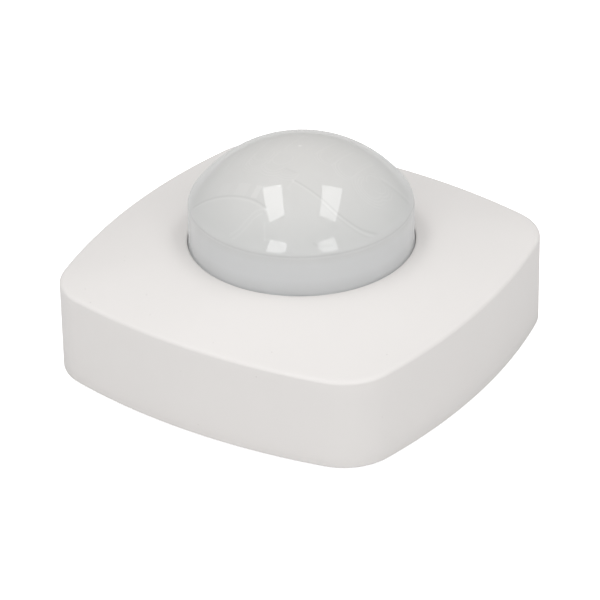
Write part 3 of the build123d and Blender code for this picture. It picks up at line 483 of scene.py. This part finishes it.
def make_lens():
    """Lens wall as one closed solid: smooth outside, pattern in relief on the inside."""
    around = 640
    outer = dome_profile(0, 150, 16, 8, BEAD_TOP + 0.25)
    flange = [(BAND_RADIUS + 0.05, BEAD_TOP + 0.1), (BEAD_RADIUS, BEAD_TOP), (BEAD_RADIUS, BEAD_TOP - 1.4),
              (BAND_RADIUS, BEAD_TOP - 1.7), (BAND_RADIUS, FLANGE_TOP + 0.3),
              (BAND_RADIUS + 0.1, FLANGE_TOP + 0.08), (BAND_RADIUS + 0.35, FLANGE_TOP),
              (FLANGE_RADIUS - 0.2, FLANGE_TOP), (FLANGE_RADIUS, FLANGE_TOP - 0.2),
              (FLANGE_RADIUS, FLANGE_LOW + 0.2), (FLANGE_RADIUS - 0.2, FLANGE_LOW)]
    inner = dome_profile(LENS_WALL, 75, 8, 4, FLANGE_LOW)[::-1]
    outside = np.array(turned(outer, around, APEX_HEIGHT))
    inside = np.array(turned(inner + [(0.05, APEX_HEIGHT - LENS_WALL)], around, 0))[1:]
    edge = np.array(turned(flange, around, 0))[1:]
    # the pattern's heights are kept for the colour too, where raised lines show lighter and grooves darker:
    # painted light and shade of the real relief seen through the wall
    outside, tint = moulded(outside, OUTER_RELIEF)
    inside, _ = moulded(inside, -INNER_RELIEF)
    seam = seam_line(outside)
    outside[:, :2] *= (1 - SEAM_DEPTH / BAND_RADIUS * seam)[:, None]
    # the parting line is drawn darker in the colour: painted shade in its groove
    tint -= 1.3 * seam
    points = np.concatenate([outside, edge, inside])
    rings = len(outer) + len(flange) + len(inner) + 1
    faces = fan_faces(around)
    faces += [tuple(i + 1 for i in f) for f in ring_grid_faces(rings, around, closed=False)]
    last = 1 + (rings - 1) * around
    faces.append(tuple(last + j for j in range(around)))
    lens = mesh_object("lens_shell", points, [tuple(reversed(f)) for f in faces])
    sharpen(lens, 60)
    values = np.concatenate([tint, np.zeros(len(points) - len(tint))]).astype(np.float32)
    attribute = lens.data.attributes.new("pattern", "FLOAT", "POINT")
    attribute.data.foreach_set("value", values)
    return lens


# ---- dial scales --------------------------------------------------------------------
BAY_TOP = 16.8
SCALE_SWEEP = 270.0
SCALE_TICKS = 11
SCALE_INNER = 4.05
TICK_SHORT = 0.7
TICK_LONG = 1.05
TICK_SUNK = 0.05
TICK_HALF_WIDTH = 0.14
TICK_HEIGHT = 0.12


def bar_along(start, end, half_width, low, high):
    """Points and faces of a bar between two plan points, its upper edges chamfered."""
    (ax, ay), (bx, by) = start, end
    length = sqrt((bx - ax) ** 2 + (by - ay) ** 2)
    ux, uy = (bx - ax) / length, (by - ay) / length
    points = []
    ease = 0.4 * (high - low)
    for height, shrink in ((low, 0.0), (high - ease, 0.0), (high, ease)):
        for along, across in ((0, -1), (1, -1), (1, 1), (0, 1)):
            step = along * (length - shrink) + (1 - along) * shrink
            side = across * (half_width - shrink)
            points.append((ax + ux * step - uy * side, ay + uy * step + ux * side, height))
    faces = ring_grid_faces(3, 4, closed=False) + [(3, 2, 1, 0), (8, 9, 10, 11)]
    return points, faces


def joined(parts):
    """One list of points and one of faces from many."""
    points, faces = [], []
    for some, their_faces in parts:
        faces += [tuple(i + len(points) for i in face) for face in their_faces]
        points += some
    return points, faces


def dial_scale(name, dial):
    """Raised ticks round a dial, longer at both ends and in the middle."""
    low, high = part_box(dial)
    cx, cy = (low.x + high.x) / 2 / MM, (low.y + high.y) / 2 / MM
    parts = []
    for i in range(SCALE_TICKS):
        turn = radians(-SCALE_SWEEP / 2 + SCALE_SWEEP * i / (SCALE_TICKS - 1))
        outer = SCALE_INNER + (TICK_LONG if i in (0, SCALE_TICKS // 2, SCALE_TICKS - 1) else TICK_SHORT)
        start = (cx + SCALE_INNER * sin(turn), cy + SCALE_INNER * cos(turn))
        end = (cx + outer * sin(turn), cy + outer * cos(turn))
        parts.append(bar_along(start, end, TICK_HALF_WIDTH, BAY_TOP - TICK_SUNK, BAY_TOP + TICK_HEIGHT))
    return mesh_object(name, *joined(parts), smooth=False)


# ---- materials of the outside -------------------------------------------------------
COVER_COLOUR = (0.728, 0.706, 0.690)
LENS_SCATTER = 0.5
# colour of the lens by height in millimetres, adjusted by comparing renders with the photo; partly the milky
# lens's own colour and partly painted shade, darker at the foot of the band and on the shoulder just above
# the parting line
LENS_TONES_AND_PAINTED_SHADE = (
    (30.0, (0.61, 0.618, 0.622)), (34.5, (0.693, 0.703, 0.708)), (38.5, (0.693, 0.702, 0.704)),
    (41.2, (0.655, 0.658, 0.652)), (43.5, (0.641, 0.645, 0.635)), (50.0, (0.670, 0.668, 0.655)),
    (56.9, (0.685, 0.677, 0.660)),
)


def cover_material():
    """White moulded plastic with a fine matt texture and a few specks of dust."""
    material = surface("cover_plastic", COVER_COLOUR, 0.44, tone=0.006, cloud_mm=22.0)
    tree = material.node_tree
    shader = tree.nodes["Principled BSDF"]
    clean = shader.inputs["Base Color"].links[0].from_socket
    speck = spread(tree, cells(tree, 5.0), 1, 0, 0.014, 0.03)
    patchy = spread(tree, noise(tree, 30.0), 0.15, 0.8)
    strength = tree.nodes.new("ShaderNodeMath")
    strength.operation = "MULTIPLY"
    tree.links.new(speck, strength.inputs[0])
    tree.links.new(patchy, strength.inputs[1])
    dust = blend_colours(tree, noise(tree, 12.0), (0.24, 0.17, 0.12), (0.34, 0.33, 0.34))
    tree.links.new(mixed_colours(tree, strength.outputs["Value"], clean, dust), shader.inputs["Base Color"])
    return material


def lens_material():
    """Milky polyethylene: the moulded pattern as faint lighter and darker lines, which are painted light and
    shade of the relief, and colour by height that is partly the lens's own and partly painted shade.
    """
    material, tree, shader = new_material("lens_polyethylene")
    cloud = spread(tree, noise(tree, 16.0, detail=2.0), -0.15, 0.15)
    # the pattern as lighter and darker colour: painted light and shade of the relief
    pattern = tree.nodes.new("ShaderNodeAttribute")
    pattern.attribute_name = "pattern"
    total = tree.nodes.new("ShaderNodeMath")
    total.operation = "ADD"
    tree.links.new(cloud, total.inputs[0])
    tree.links.new(pattern.outputs["Fac"], total.inputs[1])
    tone = spread(tree, total.outputs["Value"], 0.0, 1.0, -2.5, 2.5)
    # colour by height: partly the lens's own tone, partly painted shade
    tone_and_shade_by_height = height_ramp(tree, LENS_TONES_AND_PAINTED_SHADE)
    mixed = tree.nodes.new("ShaderNodeMix")
    mixed.data_type = "RGBA"
    mixed.blend_type = "MULTIPLY"
    mixed.inputs["Factor"].default_value = 1.0
    tree.links.new(blend_colours(tree, tone, (0.76, 0.76, 0.76), (1, 1, 1)), mixed.inputs["A"])
    tree.links.new(tone_and_shade_by_height, mixed.inputs["B"])
    tree.links.new(mixed.outputs["Result"], shader.inputs["Base Color"])
    shader.inputs["Subsurface Weight"].default_value = LENS_SCATTER
    shader.inputs["Subsurface Radius"].default_value = (1.0, 1.0, 1.0)
    shader.inputs["Subsurface Scale"].default_value = 0.002
    gloss = noise(tree, 0.6, detail=2.0)
    tree.links.new(spread(tree, gloss, 0.02, 0.05), shader.inputs["Roughness"])
    grazing = tree.nodes.new("ShaderNodeLayerWeight")
    grazing.inputs["Blend"].default_value = 0.5
    sheen = spread(tree, grazing.outputs["Facing"], 0.5, 0.0, 0.62, 0.9)
    tree.links.new(sheen, shader.inputs["Specular IOR Level"])
    ripple = noise(tree, 4.0, detail=1.0)
    grain = noise(tree, 0.9, detail=3.0)
    both = tree.nodes.new("ShaderNodeMath")
    both.operation = "MULTIPLY_ADD"
    both.inputs[1].default_value = 0.25
    tree.links.new(grain, both.inputs[0])
    tree.links.new(ripple, both.inputs[2])
    bump(tree, shader, both.outputs["Value"], 0.0015)
    return material


def height_ramp(tree, stops):
    """Colour by height over the base, from (height in millimetres, colour) stops."""
    place = tree.nodes.new("ShaderNodeTexCoord")
    split = tree.nodes.new("ShaderNodeSeparateXYZ")
    tree.links.new(place.outputs["Object"], split.inputs["Vector"])
    low, high = stops[0][0], stops[-1][0]
    fraction = spread(tree, split.outputs["Z"], 0.0, 1.0, low * MM, high * MM)
    ramp = tree.nodes.new("ShaderNodeValToRGB")
    points = ramp.color_ramp.elements
    for _ in stops[2:]:
        points.new(0.5)
    for point, (height, colour) in zip(points, stops):
        point.position = (height - low) / (high - low)
        point.color = (*colour, 1)
    tree.links.new(fraction, ramp.inputs["Fac"])
    return ramp.outputs["Color"]


# ---- materials of the inside --------------------------------------------------------
def mixed_colours(tree, factor, low, high):
    """Mix of two colour sockets by a 0-1 socket."""
    node = tree.nodes.new("ShaderNodeMix")
    node.data_type = "RGBA"
    tree.links.new(factor, node.inputs["Factor"])
    tree.links.new(low, node.inputs["A"])
    tree.links.new(high, node.inputs["B"])
    return node.outputs["Result"]


def stripes(tree, axis, width_mm):
    """0-1 waves along one axis of the object, width_mm from crest to crest."""
    place = tree.nodes.new("ShaderNodeTexCoord")
    wave = tree.nodes.new("ShaderNodeTexWave")
    wave.bands_direction = axis
    wave.inputs["Scale"].default_value = pi / 10 / (width_mm * MM)
    tree.links.new(place.outputs["Object"], wave.inputs["Vector"])
    return wave.outputs["Fac"]


def cells(tree, size_mm, feature="F1", stretch=(1, 1, 1)):
    """Distance pattern of scattered points about size_mm apart."""
    place = tree.nodes.new("ShaderNodeTexCoord")
    scaled = tree.nodes.new("ShaderNodeVectorMath")
    scaled.operation = "MULTIPLY"
    scaled.inputs[1].default_value = stretch
    texture = tree.nodes.new("ShaderNodeTexVoronoi")
    texture.feature = feature
    texture.inputs["Scale"].default_value = 1.0 / (size_mm * MM)
    tree.links.new(place.outputs["Object"], scaled.inputs[0])
    tree.links.new(scaled.outputs["Vector"], texture.inputs["Vector"])
    return texture.outputs["Distance"]


def metal(name, colour, rough, brush_mm=0.12, stretch=(1, 12, 1), tarnish=0.10):
    """Plated metal: fine brush lines, uneven gloss and darker tarnish in patches."""
    material, tree, shader = new_material(name)
    shader.inputs["Metallic"].default_value = 1.0
    patches = spread(tree, noise(tree, 2.5, detail=4.0), 0, 1, 0.42, 0.72)
    dull = [c * (1 - 2.5 * tarnish) for c in colour]
    tree.links.new(blend_colours(tree, patches, colour, dull), shader.inputs["Base Color"])
    brushed = cells(tree, brush_mm, stretch=stretch)
    scuffs = noise(tree, 0.8, detail=4.0)
    tree.links.new(spread(tree, scuffs, rough * 0.7, rough * 1.5), shader.inputs["Roughness"])
    bump(tree, shader, brushed, 0.0015)
    return material


def board_material(name):
    """Green solder mask over copper tracks, with tinned spots where leads come through."""
    material, tree, shader = new_material(name)
    place = tree.nodes.new("ShaderNodeTexCoord")
    tracks = tree.nodes.new("ShaderNodeTexBrick")
    tracks.inputs["Scale"].default_value = 1.0 / (6.0 * MM)
    tracks.inputs["Mortar Size"].default_value = 0.035
    tracks.inputs["Color1"].default_value = (0, 0, 0, 1)
    tracks.inputs["Color2"].default_value = (0, 0, 0, 1)
    tracks.inputs["Mortar"].default_value = (1, 1, 1, 1)
    tree.links.new(place.outputs["Object"], tracks.inputs["Vector"])
    weave = spread(tree, noise(tree, 0.9, detail=2.0), 0, 1)
    mask = blend_colours(tree, weave, (0.012, 0.10, 0.035), (0.020, 0.135, 0.050))
    copper = blend_colours(tree, weave, (0.050, 0.22, 0.070), (0.065, 0.26, 0.085))
    masked = mixed_colours(tree, tracks.outputs["Color"], mask, copper)
    spots = spread(tree, cells(tree, 3.4, stretch=(1, 1, 0)), 1, 0, 0.10, 0.13)
    tin = blend_colours(tree, weave, (0.46, 0.46, 0.44), (0.62, 0.61, 0.58))
    tree.links.new(mixed_colours(tree, spots, masked, tin), shader.inputs["Base Color"])
    tree.links.new(spread(tree, weave, 0.22, 0.36, 0.0, 1.0), shader.inputs["Roughness"])
    tree.links.new(spots, shader.inputs["Metallic"])
    raised = tree.nodes.new("ShaderNodeMath")
    raised.operation = "ADD"
    tree.links.new(tracks.outputs["Color"], raised.inputs[0])
    tree.links.new(spots, raised.inputs[1])
    bump(tree, shader, raised.outputs["Value"], 0.05)
    return material


def winding_material(name):
    """Enamelled copper wire laid turn by turn along the coil, its colour dark between the turns: painted
    shade in the grooves.
    """
    material, tree, shader = new_material(name)
    turns = stripes(tree, "Y", 0.22)
    # dark between the turns: painted shade
    wire = blend_colours(tree, turns, (0.20, 0.055, 0.018), (0.66, 0.27, 0.10))
    tree.links.new(wire, shader.inputs["Base Color"])
    tree.links.new(spread(tree, noise(tree, 0.7), 0.22, 0.40), shader.inputs["Roughness"])
    shader.inputs["Metallic"].default_value = 0.75
    shader.inputs["Coat Weight"].default_value = 0.5
    bump(tree, shader, turns, 0.06)
    return material


def filter_material(name):
    """Dark coated silicon window: glassy, with a faint interference tint."""
    material, tree, shader = new_material(name)
    tint = spread(tree, noise(tree, 3.0, detail=1.0), 0, 1)
    coating = blend_colours(tree, tint, (0.016, 0.019, 0.030), (0.040, 0.030, 0.050))
    tree.links.new(coating, shader.inputs["Base Color"])
    tree.links.new(spread(tree, noise(tree, 0.4), 0.03, 0.09), shader.inputs["Roughness"])
    shader.inputs["Coat Weight"].default_value = 1.0
    shader.inputs["Coat Roughness"].default_value = 0.03
    bump(tree, shader, noise(tree, 1.2), 0.0006)
    return material


def speckled(name, colour, fleck, rough, fleck_mm, share, grain_height_mm):
    """Sintered or filled body: colour with flecks of another, and a coarse grain."""
    material, tree, shader = new_material(name)
    flecks = spread(tree, noise(tree, fleck_mm, detail=1.0), 0, 1, 1 - share - 0.03, 1 - share + 0.03)
    tree.links.new(blend_colours(tree, flecks, colour, fleck), shader.inputs["Base Color"])
    grain = noise(tree, fleck_mm * 0.6, detail=4.0)
    tree.links.new(spread(tree, grain, rough * 0.8, min(1.0, rough * 1.2)), shader.inputs["Roughness"])
    bump(tree, shader, grain, grain_height_mm)
    return material


def clear_resin(name, colour, deep):
    """Diffused LED or sensor resin: glossy, a little light goes through it."""
    material = surface(name, colour, 0.16, grain_mm=0.8, grain_height_mm=0.004, tone=0.12, cloud_mm=1.6)
    shader = material.node_tree.nodes["Principled BSDF"]
    shader.inputs["Subsurface Weight"].default_value = 0.4
    shader.inputs["Subsurface Radius"].default_value = deep
    shader.inputs["Subsurface Scale"].default_value = 0.001
    shader.inputs["Coat Weight"].default_value = 0.4
    return material


def slot_material(slot):
    """The material of one slot of the record, made once and shared by its nodes."""
    plastics = {  # colour, roughness, grain in mm, grain height in mm, tone, cloud in mm
        "base_plastic": ((0.66, 0.655, 0.64), 0.52, 0.35, 0.012, 0.03, 12.0),
        "housing_plastic": ((0.70, 0.695, 0.68), 0.42, 0.28, 0.008, 0.025, 10.0),
        "white_plastic": ((0.72, 0.715, 0.70), 0.46, 0.25, 0.006, 0.025, 6.0),
        "clamp_plastic": ((0.46, 0.46, 0.45), 0.45, 0.30, 0.010, 0.04, 5.0),
        "nylon": ((0.68, 0.66, 0.58), 0.38, 0.30, 0.008, 0.05, 4.0),
        "black_plastic": ((0.016, 0.016, 0.017), 0.38, 0.25, 0.010, 0.25, 3.0),
        "terminal_plastic": ((0.115, 0.125, 0.130), 0.40, 0.30, 0.010, 0.08, 5.0),
        "relay_plastic": ((0.012, 0.028, 0.075), 0.26, 0.60, 0.004, 0.12, 6.0),
        "yellow_plastic": ((0.68, 0.40, 0.035), 0.30, 0.60, 0.006, 0.07, 4.0),
        "capacitor_sleeve": ((0.018, 0.022, 0.060), 0.24, 0.80, 0.010, 0.15, 3.0),
        "blue_ceramic": ((0.018, 0.085, 0.30), 0.28, 0.90, 0.030, 0.12, 2.5),
        "blue_plastic": ((0.020, 0.105, 0.34), 0.34, 0.25, 0.008, 0.08, 3.0),
        "dial_plastic": ((0.70, 0.20, 0.022), 0.36, 0.22, 0.008, 0.06, 3.0),
    }
    metals = {  # colour, roughness
        "zinc_steel": ((0.60, 0.62, 0.64), 0.26), "plated_iron": ((0.56, 0.55, 0.53), 0.24),
        "tinned_brass": ((0.62, 0.57, 0.42), 0.28), "contact_brass": ((0.66, 0.43, 0.17), 0.25),
        "gold_pins": ((0.82, 0.55, 0.18), 0.16),
    }
    if slot in plastics:
        colour, rough, grain, height, tone, cloud = plastics[slot]
        return surface(slot, colour, rough, grain, height, tone, cloud_mm=cloud)
    if slot in metals:
        return metal(slot, *metals[slot])
    filled = {  # colour, fleck colour, roughness, fleck in mm, share of flecks, grain height in mm
        "grommet_rubber": ((0.022, 0.022, 0.024), (0.040, 0.040, 0.042), 0.72, 0.5, 0.35, 0.02),
        "ferrite": ((0.022, 0.021, 0.021), (0.060, 0.057, 0.054), 0.62, 0.25, 0.4, 0.015),
        "chip_plastic": ((0.018, 0.018, 0.020), (0.038, 0.038, 0.040), 0.55, 0.12, 0.4, 0.008),
        "resistor_coating": ((0.22, 0.32, 0.27), (0.30, 0.40, 0.34), 0.60, 0.3, 0.4, 0.015),
    }
    resins = {  # colour, how deep red, green and blue light go
        "sensor_resin": ((0.035, 0.022, 0.018), (1.0, 0.5, 0.4)),
        "red_lens": ((0.55, 0.018, 0.012), (1.0, 0.15, 0.1)),
    }
    if slot in filled:
        return speckled(slot, *filled[slot])
    if slot in resins:
        return clear_resin(slot, *resins[slot])
    others = {
        "circuit_board": board_material,
        "copper_winding": winding_material,
        "filter_glass": filter_material,
    }
    return others[slot](slot)


# ---- stage --------------------------------------------------------------------------
# camera: fitted to the photo; angles in degrees, distances in metres, lens in millimetres
CAMERA_AZIMUTH = 33.07
CAMERA_ELEVATION = 31.01
CAMERA_ROLL = -0.962
CAMERA_DISTANCE = 0.95287
CAMERA_ASIDE = -0.00084
CAMERA_ABOVE = 0.00997
CAMERA_LENS = 220.4
# lights: adjusted by comparing renders with the photo; metres, degrees and watts
STRIP_HEIGHT = 1.3
# strips over the object: name, aside, toward the camera, width, length, tilt, power
STRIPS = (
    ("strip_left", -0.45, 0.06, 0.37, 0.77, -50.0, 3.55),
    ("strip_right", 0.50, 0.07, 0.38, 0.76, 50.0, 3.1),
)
FRONT_DISTANCE = 1.3
FRONT_ELEVATION = 36.5
FRONT_SIZE = (0.34, 0.52)
# boxes in front: name, azimuth from the camera, power
FRONT_BOXES = (("front_left", -28.0, 2.25), ("front_right", 29.5, 1.9))
LIGHT_TARGET = Vector((0, 0, 0.02))
WORLD_LOW = 0.405
WORLD_HIGH = 0.38
WORLD_SIDE = 0.24
WORLD_FRONT = 0.38
FLOOR_GLOW = 0.75
FLOOR_DARK = (0.74, 0.74, 0.74)
FLOOR_LIGHT = (0.76, 0.76, 0.76)
FLOOR_LEVEL = -0.05
FLOOR_HALF = 4000.0


def direction(azimuth, elevation):
    """Unit vector from the middle of the object, azimuth 0 towards -Y, in degrees."""
    a, e = radians(azimuth), radians(elevation)
    return Vector((sin(a) * cos(e), -cos(a) * cos(e), sin(e)))


def make_camera():
    data = bpy.data.cameras.new("camera")
    data.sensor_width = 36.0
    data.lens = CAMERA_LENS
    data.clip_start, data.clip_end = 0.05, 20.0
    camera = bpy.data.objects.new("camera", data)
    bpy.context.scene.collection.objects.link(camera)
    back = direction(CAMERA_AZIMUTH, CAMERA_ELEVATION)
    level = Vector((cos(radians(CAMERA_AZIMUTH)), sin(radians(CAMERA_AZIMUTH)), 0))
    upward = back.cross(level)
    roll = radians(CAMERA_ROLL)
    right = level * cos(roll) + upward * sin(roll)
    above = upward * cos(roll) - level * sin(roll)
    place = back * CAMERA_DISTANCE + right * CAMERA_ASIDE + above * CAMERA_ABOVE
    camera.matrix_world = Matrix.Translation(place) @ Matrix((right, above, back)).transposed().to_4x4()
    bpy.context.scene.camera = camera


def softbox(name, place, width, height, power):
    """Rectangular lamp that faces the object."""
    data = bpy.data.lights.new(name, "AREA")
    data.shape = "RECTANGLE"
    data.size, data.size_y = width, height
    data.energy = power
    lamp = bpy.data.objects.new(name, data)
    bpy.context.scene.collection.objects.link(lamp)
    lamp.location = place
    lamp.rotation_euler = (LIGHT_TARGET - place).to_track_quat("-Z", "Y").to_euler()
    return lamp


def overhead_strip(name, aside, toward, width, length, tilt, power):
    """Strip over the object, long from front to back as the camera sees it."""
    right = Vector((cos(radians(CAMERA_AZIMUTH)), sin(radians(CAMERA_AZIMUTH)), 0))
    front = direction(CAMERA_AZIMUTH, 0)
    place = right * aside + front * toward + Vector((0, 0, STRIP_HEIGHT))
    lamp = softbox(name, place, width, length, power)
    turn = Matrix.Rotation(radians(CAMERA_AZIMUTH), 4, "Z") @ Matrix.Rotation(radians(tilt), 4, "Y")
    lamp.matrix_world = Matrix.Translation(place) @ turn


def make_lights():
    for strip in STRIPS:
        overhead_strip(*strip)
    for name, azimuth, power in FRONT_BOXES:
        place = direction(CAMERA_AZIMUTH + azimuth, FRONT_ELEVATION) * FRONT_DISTANCE
        softbox(name, place, *FRONT_SIZE, power)
    make_sky()


def make_sky():
    """Studio walls that get brighter towards the ceiling, with no edge to be mirrored."""
    world = bpy.data.worlds.new("studio")
    bpy.context.scene.world = world
    world.use_nodes = True
    tree = world.node_tree
    place = tree.nodes.new("ShaderNodeTexCoord")
    split = tree.nodes.new("ShaderNodeSeparateXYZ")
    rise = tree.nodes.new("ShaderNodeMath")
    rise.operation = "POWER"
    rise.use_clamp = True
    rise.inputs[1].default_value = 2.0
    level = tree.nodes.new("ShaderNodeMapRange")
    level.inputs["To Min"].default_value = WORLD_LOW
    level.inputs["To Max"].default_value = WORLD_LOW + WORLD_HIGH
    background = tree.nodes["Background"]
    background.inputs["Color"].default_value = (1, 1, 1, 1)
    level_direction = (cos(radians(CAMERA_AZIMUTH)), sin(radians(CAMERA_AZIMUTH)), 0)
    sides = squared_part(tree, place.outputs["Generated"], level_direction, clamp=False)
    ahead = squared_part(tree, place.outputs["Generated"], direction(CAMERA_AZIMUTH, 0), clamp=True)
    tree.links.new(place.outputs["Generated"], split.inputs["Vector"])
    tree.links.new(split.outputs["Z"], rise.inputs[0])
    tree.links.new(rise.outputs["Value"], level.inputs["Value"])
    total = level.outputs["Result"]
    for part, share in ((sides, WORLD_SIDE), (ahead, WORLD_FRONT)):
        added = tree.nodes.new("ShaderNodeMath")
        added.operation = "MULTIPLY_ADD"
        added.inputs[1].default_value = share
        tree.links.new(part, added.inputs[0])
        tree.links.new(total, added.inputs[2])
        total = added.outputs["Value"]
    tree.links.new(total, background.inputs["Strength"])


def squared_part(tree, vector, along, clamp):
    """Square of a direction's part along a fixed one; clamp leaves out the far half."""
    dot = tree.nodes.new("ShaderNodeVectorMath")
    dot.operation = "DOT_PRODUCT"
    dot.inputs[1].default_value = along
    part = tree.nodes.new("ShaderNodeMath")
    part.operation = "ADD"
    part.use_clamp = clamp
    part.inputs[1].default_value = 0.0
    square = tree.nodes.new("ShaderNodeMath")
    square.operation = "MULTIPLY"
    tree.links.new(vector, dot.inputs[0])
    tree.links.new(dot.outputs["Value"], part.inputs[0])
    tree.links.new(part.outputs["Value"], square.inputs[0])
    tree.links.new(part.outputs["Value"], square.inputs[1])
    return square.outputs["Value"]


def floor_material():
    """Pale paper, lit up for the camera so that it shows white, as a backdrop does."""
    material, tree, shader = new_material("floor")
    paper = noise(tree, 60.0)
    colour = blend_colours(tree, spread(tree, paper, 0, 1), FLOOR_DARK, FLOOR_LIGHT)
    tree.links.new(colour, shader.inputs["Base Color"])
    shader.inputs["Roughness"].default_value = 0.9
    shader.inputs["Specular IOR Level"].default_value = 0.1
    path = tree.nodes.new("ShaderNodeLightPath")
    glow = spread(tree, path.outputs["Is Camera Ray"], 0.0, FLOOR_GLOW, 0.0, 1.0)
    shader.inputs["Emission Color"].default_value = (1, 1, 1, 1)
    tree.links.new(glow, shader.inputs["Emission Strength"])
    return material


def make_floor():
    ends = (-FLOOR_HALF, FLOOR_HALF)
    corners = [(ends[i], ends[j], FLOOR_LEVEL) for i, j in ((0, 0), (1, 0), (1, 1), (0, 1))]
    floor = mesh_object("floor", corners, [(0, 1, 2, 3)])
    dress(floor, floor_material())


# ---- put it together ----------------------------------------------------------------
bpy.context.scene.view_settings.view_transform = "Standard"
make_camera()
make_lights()
make_floor()

cover = dress(make_cover(), cover_material())
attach(cover, "cover")
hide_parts("front_cover")

lens = dress(make_lens(), lens_material())
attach(lens, "base")
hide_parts("lens_dome")

scale_ink = surface("scale_ink", (0.045, 0.045, 0.048), 0.55, grain_mm=0.15, tone=0.2, cloud_mm=1.0)
for dial in ("sensitivity_dial", "time_dial", "light_level_dial"):
    scale = dress(dial_scale(f"{dial}_scale", dial), scale_ink)
    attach(scale, "base")

finishes = {}
for row in frame["record"]["subparts"]:
    name, slot = row["node"], row["material_slot"]
    if name not in ("front_cover", "lens_dome"):
        if slot not in finishes:
            finishes[slot] = slot_material(slot)
        dress(NODES[name], finishes[slot])
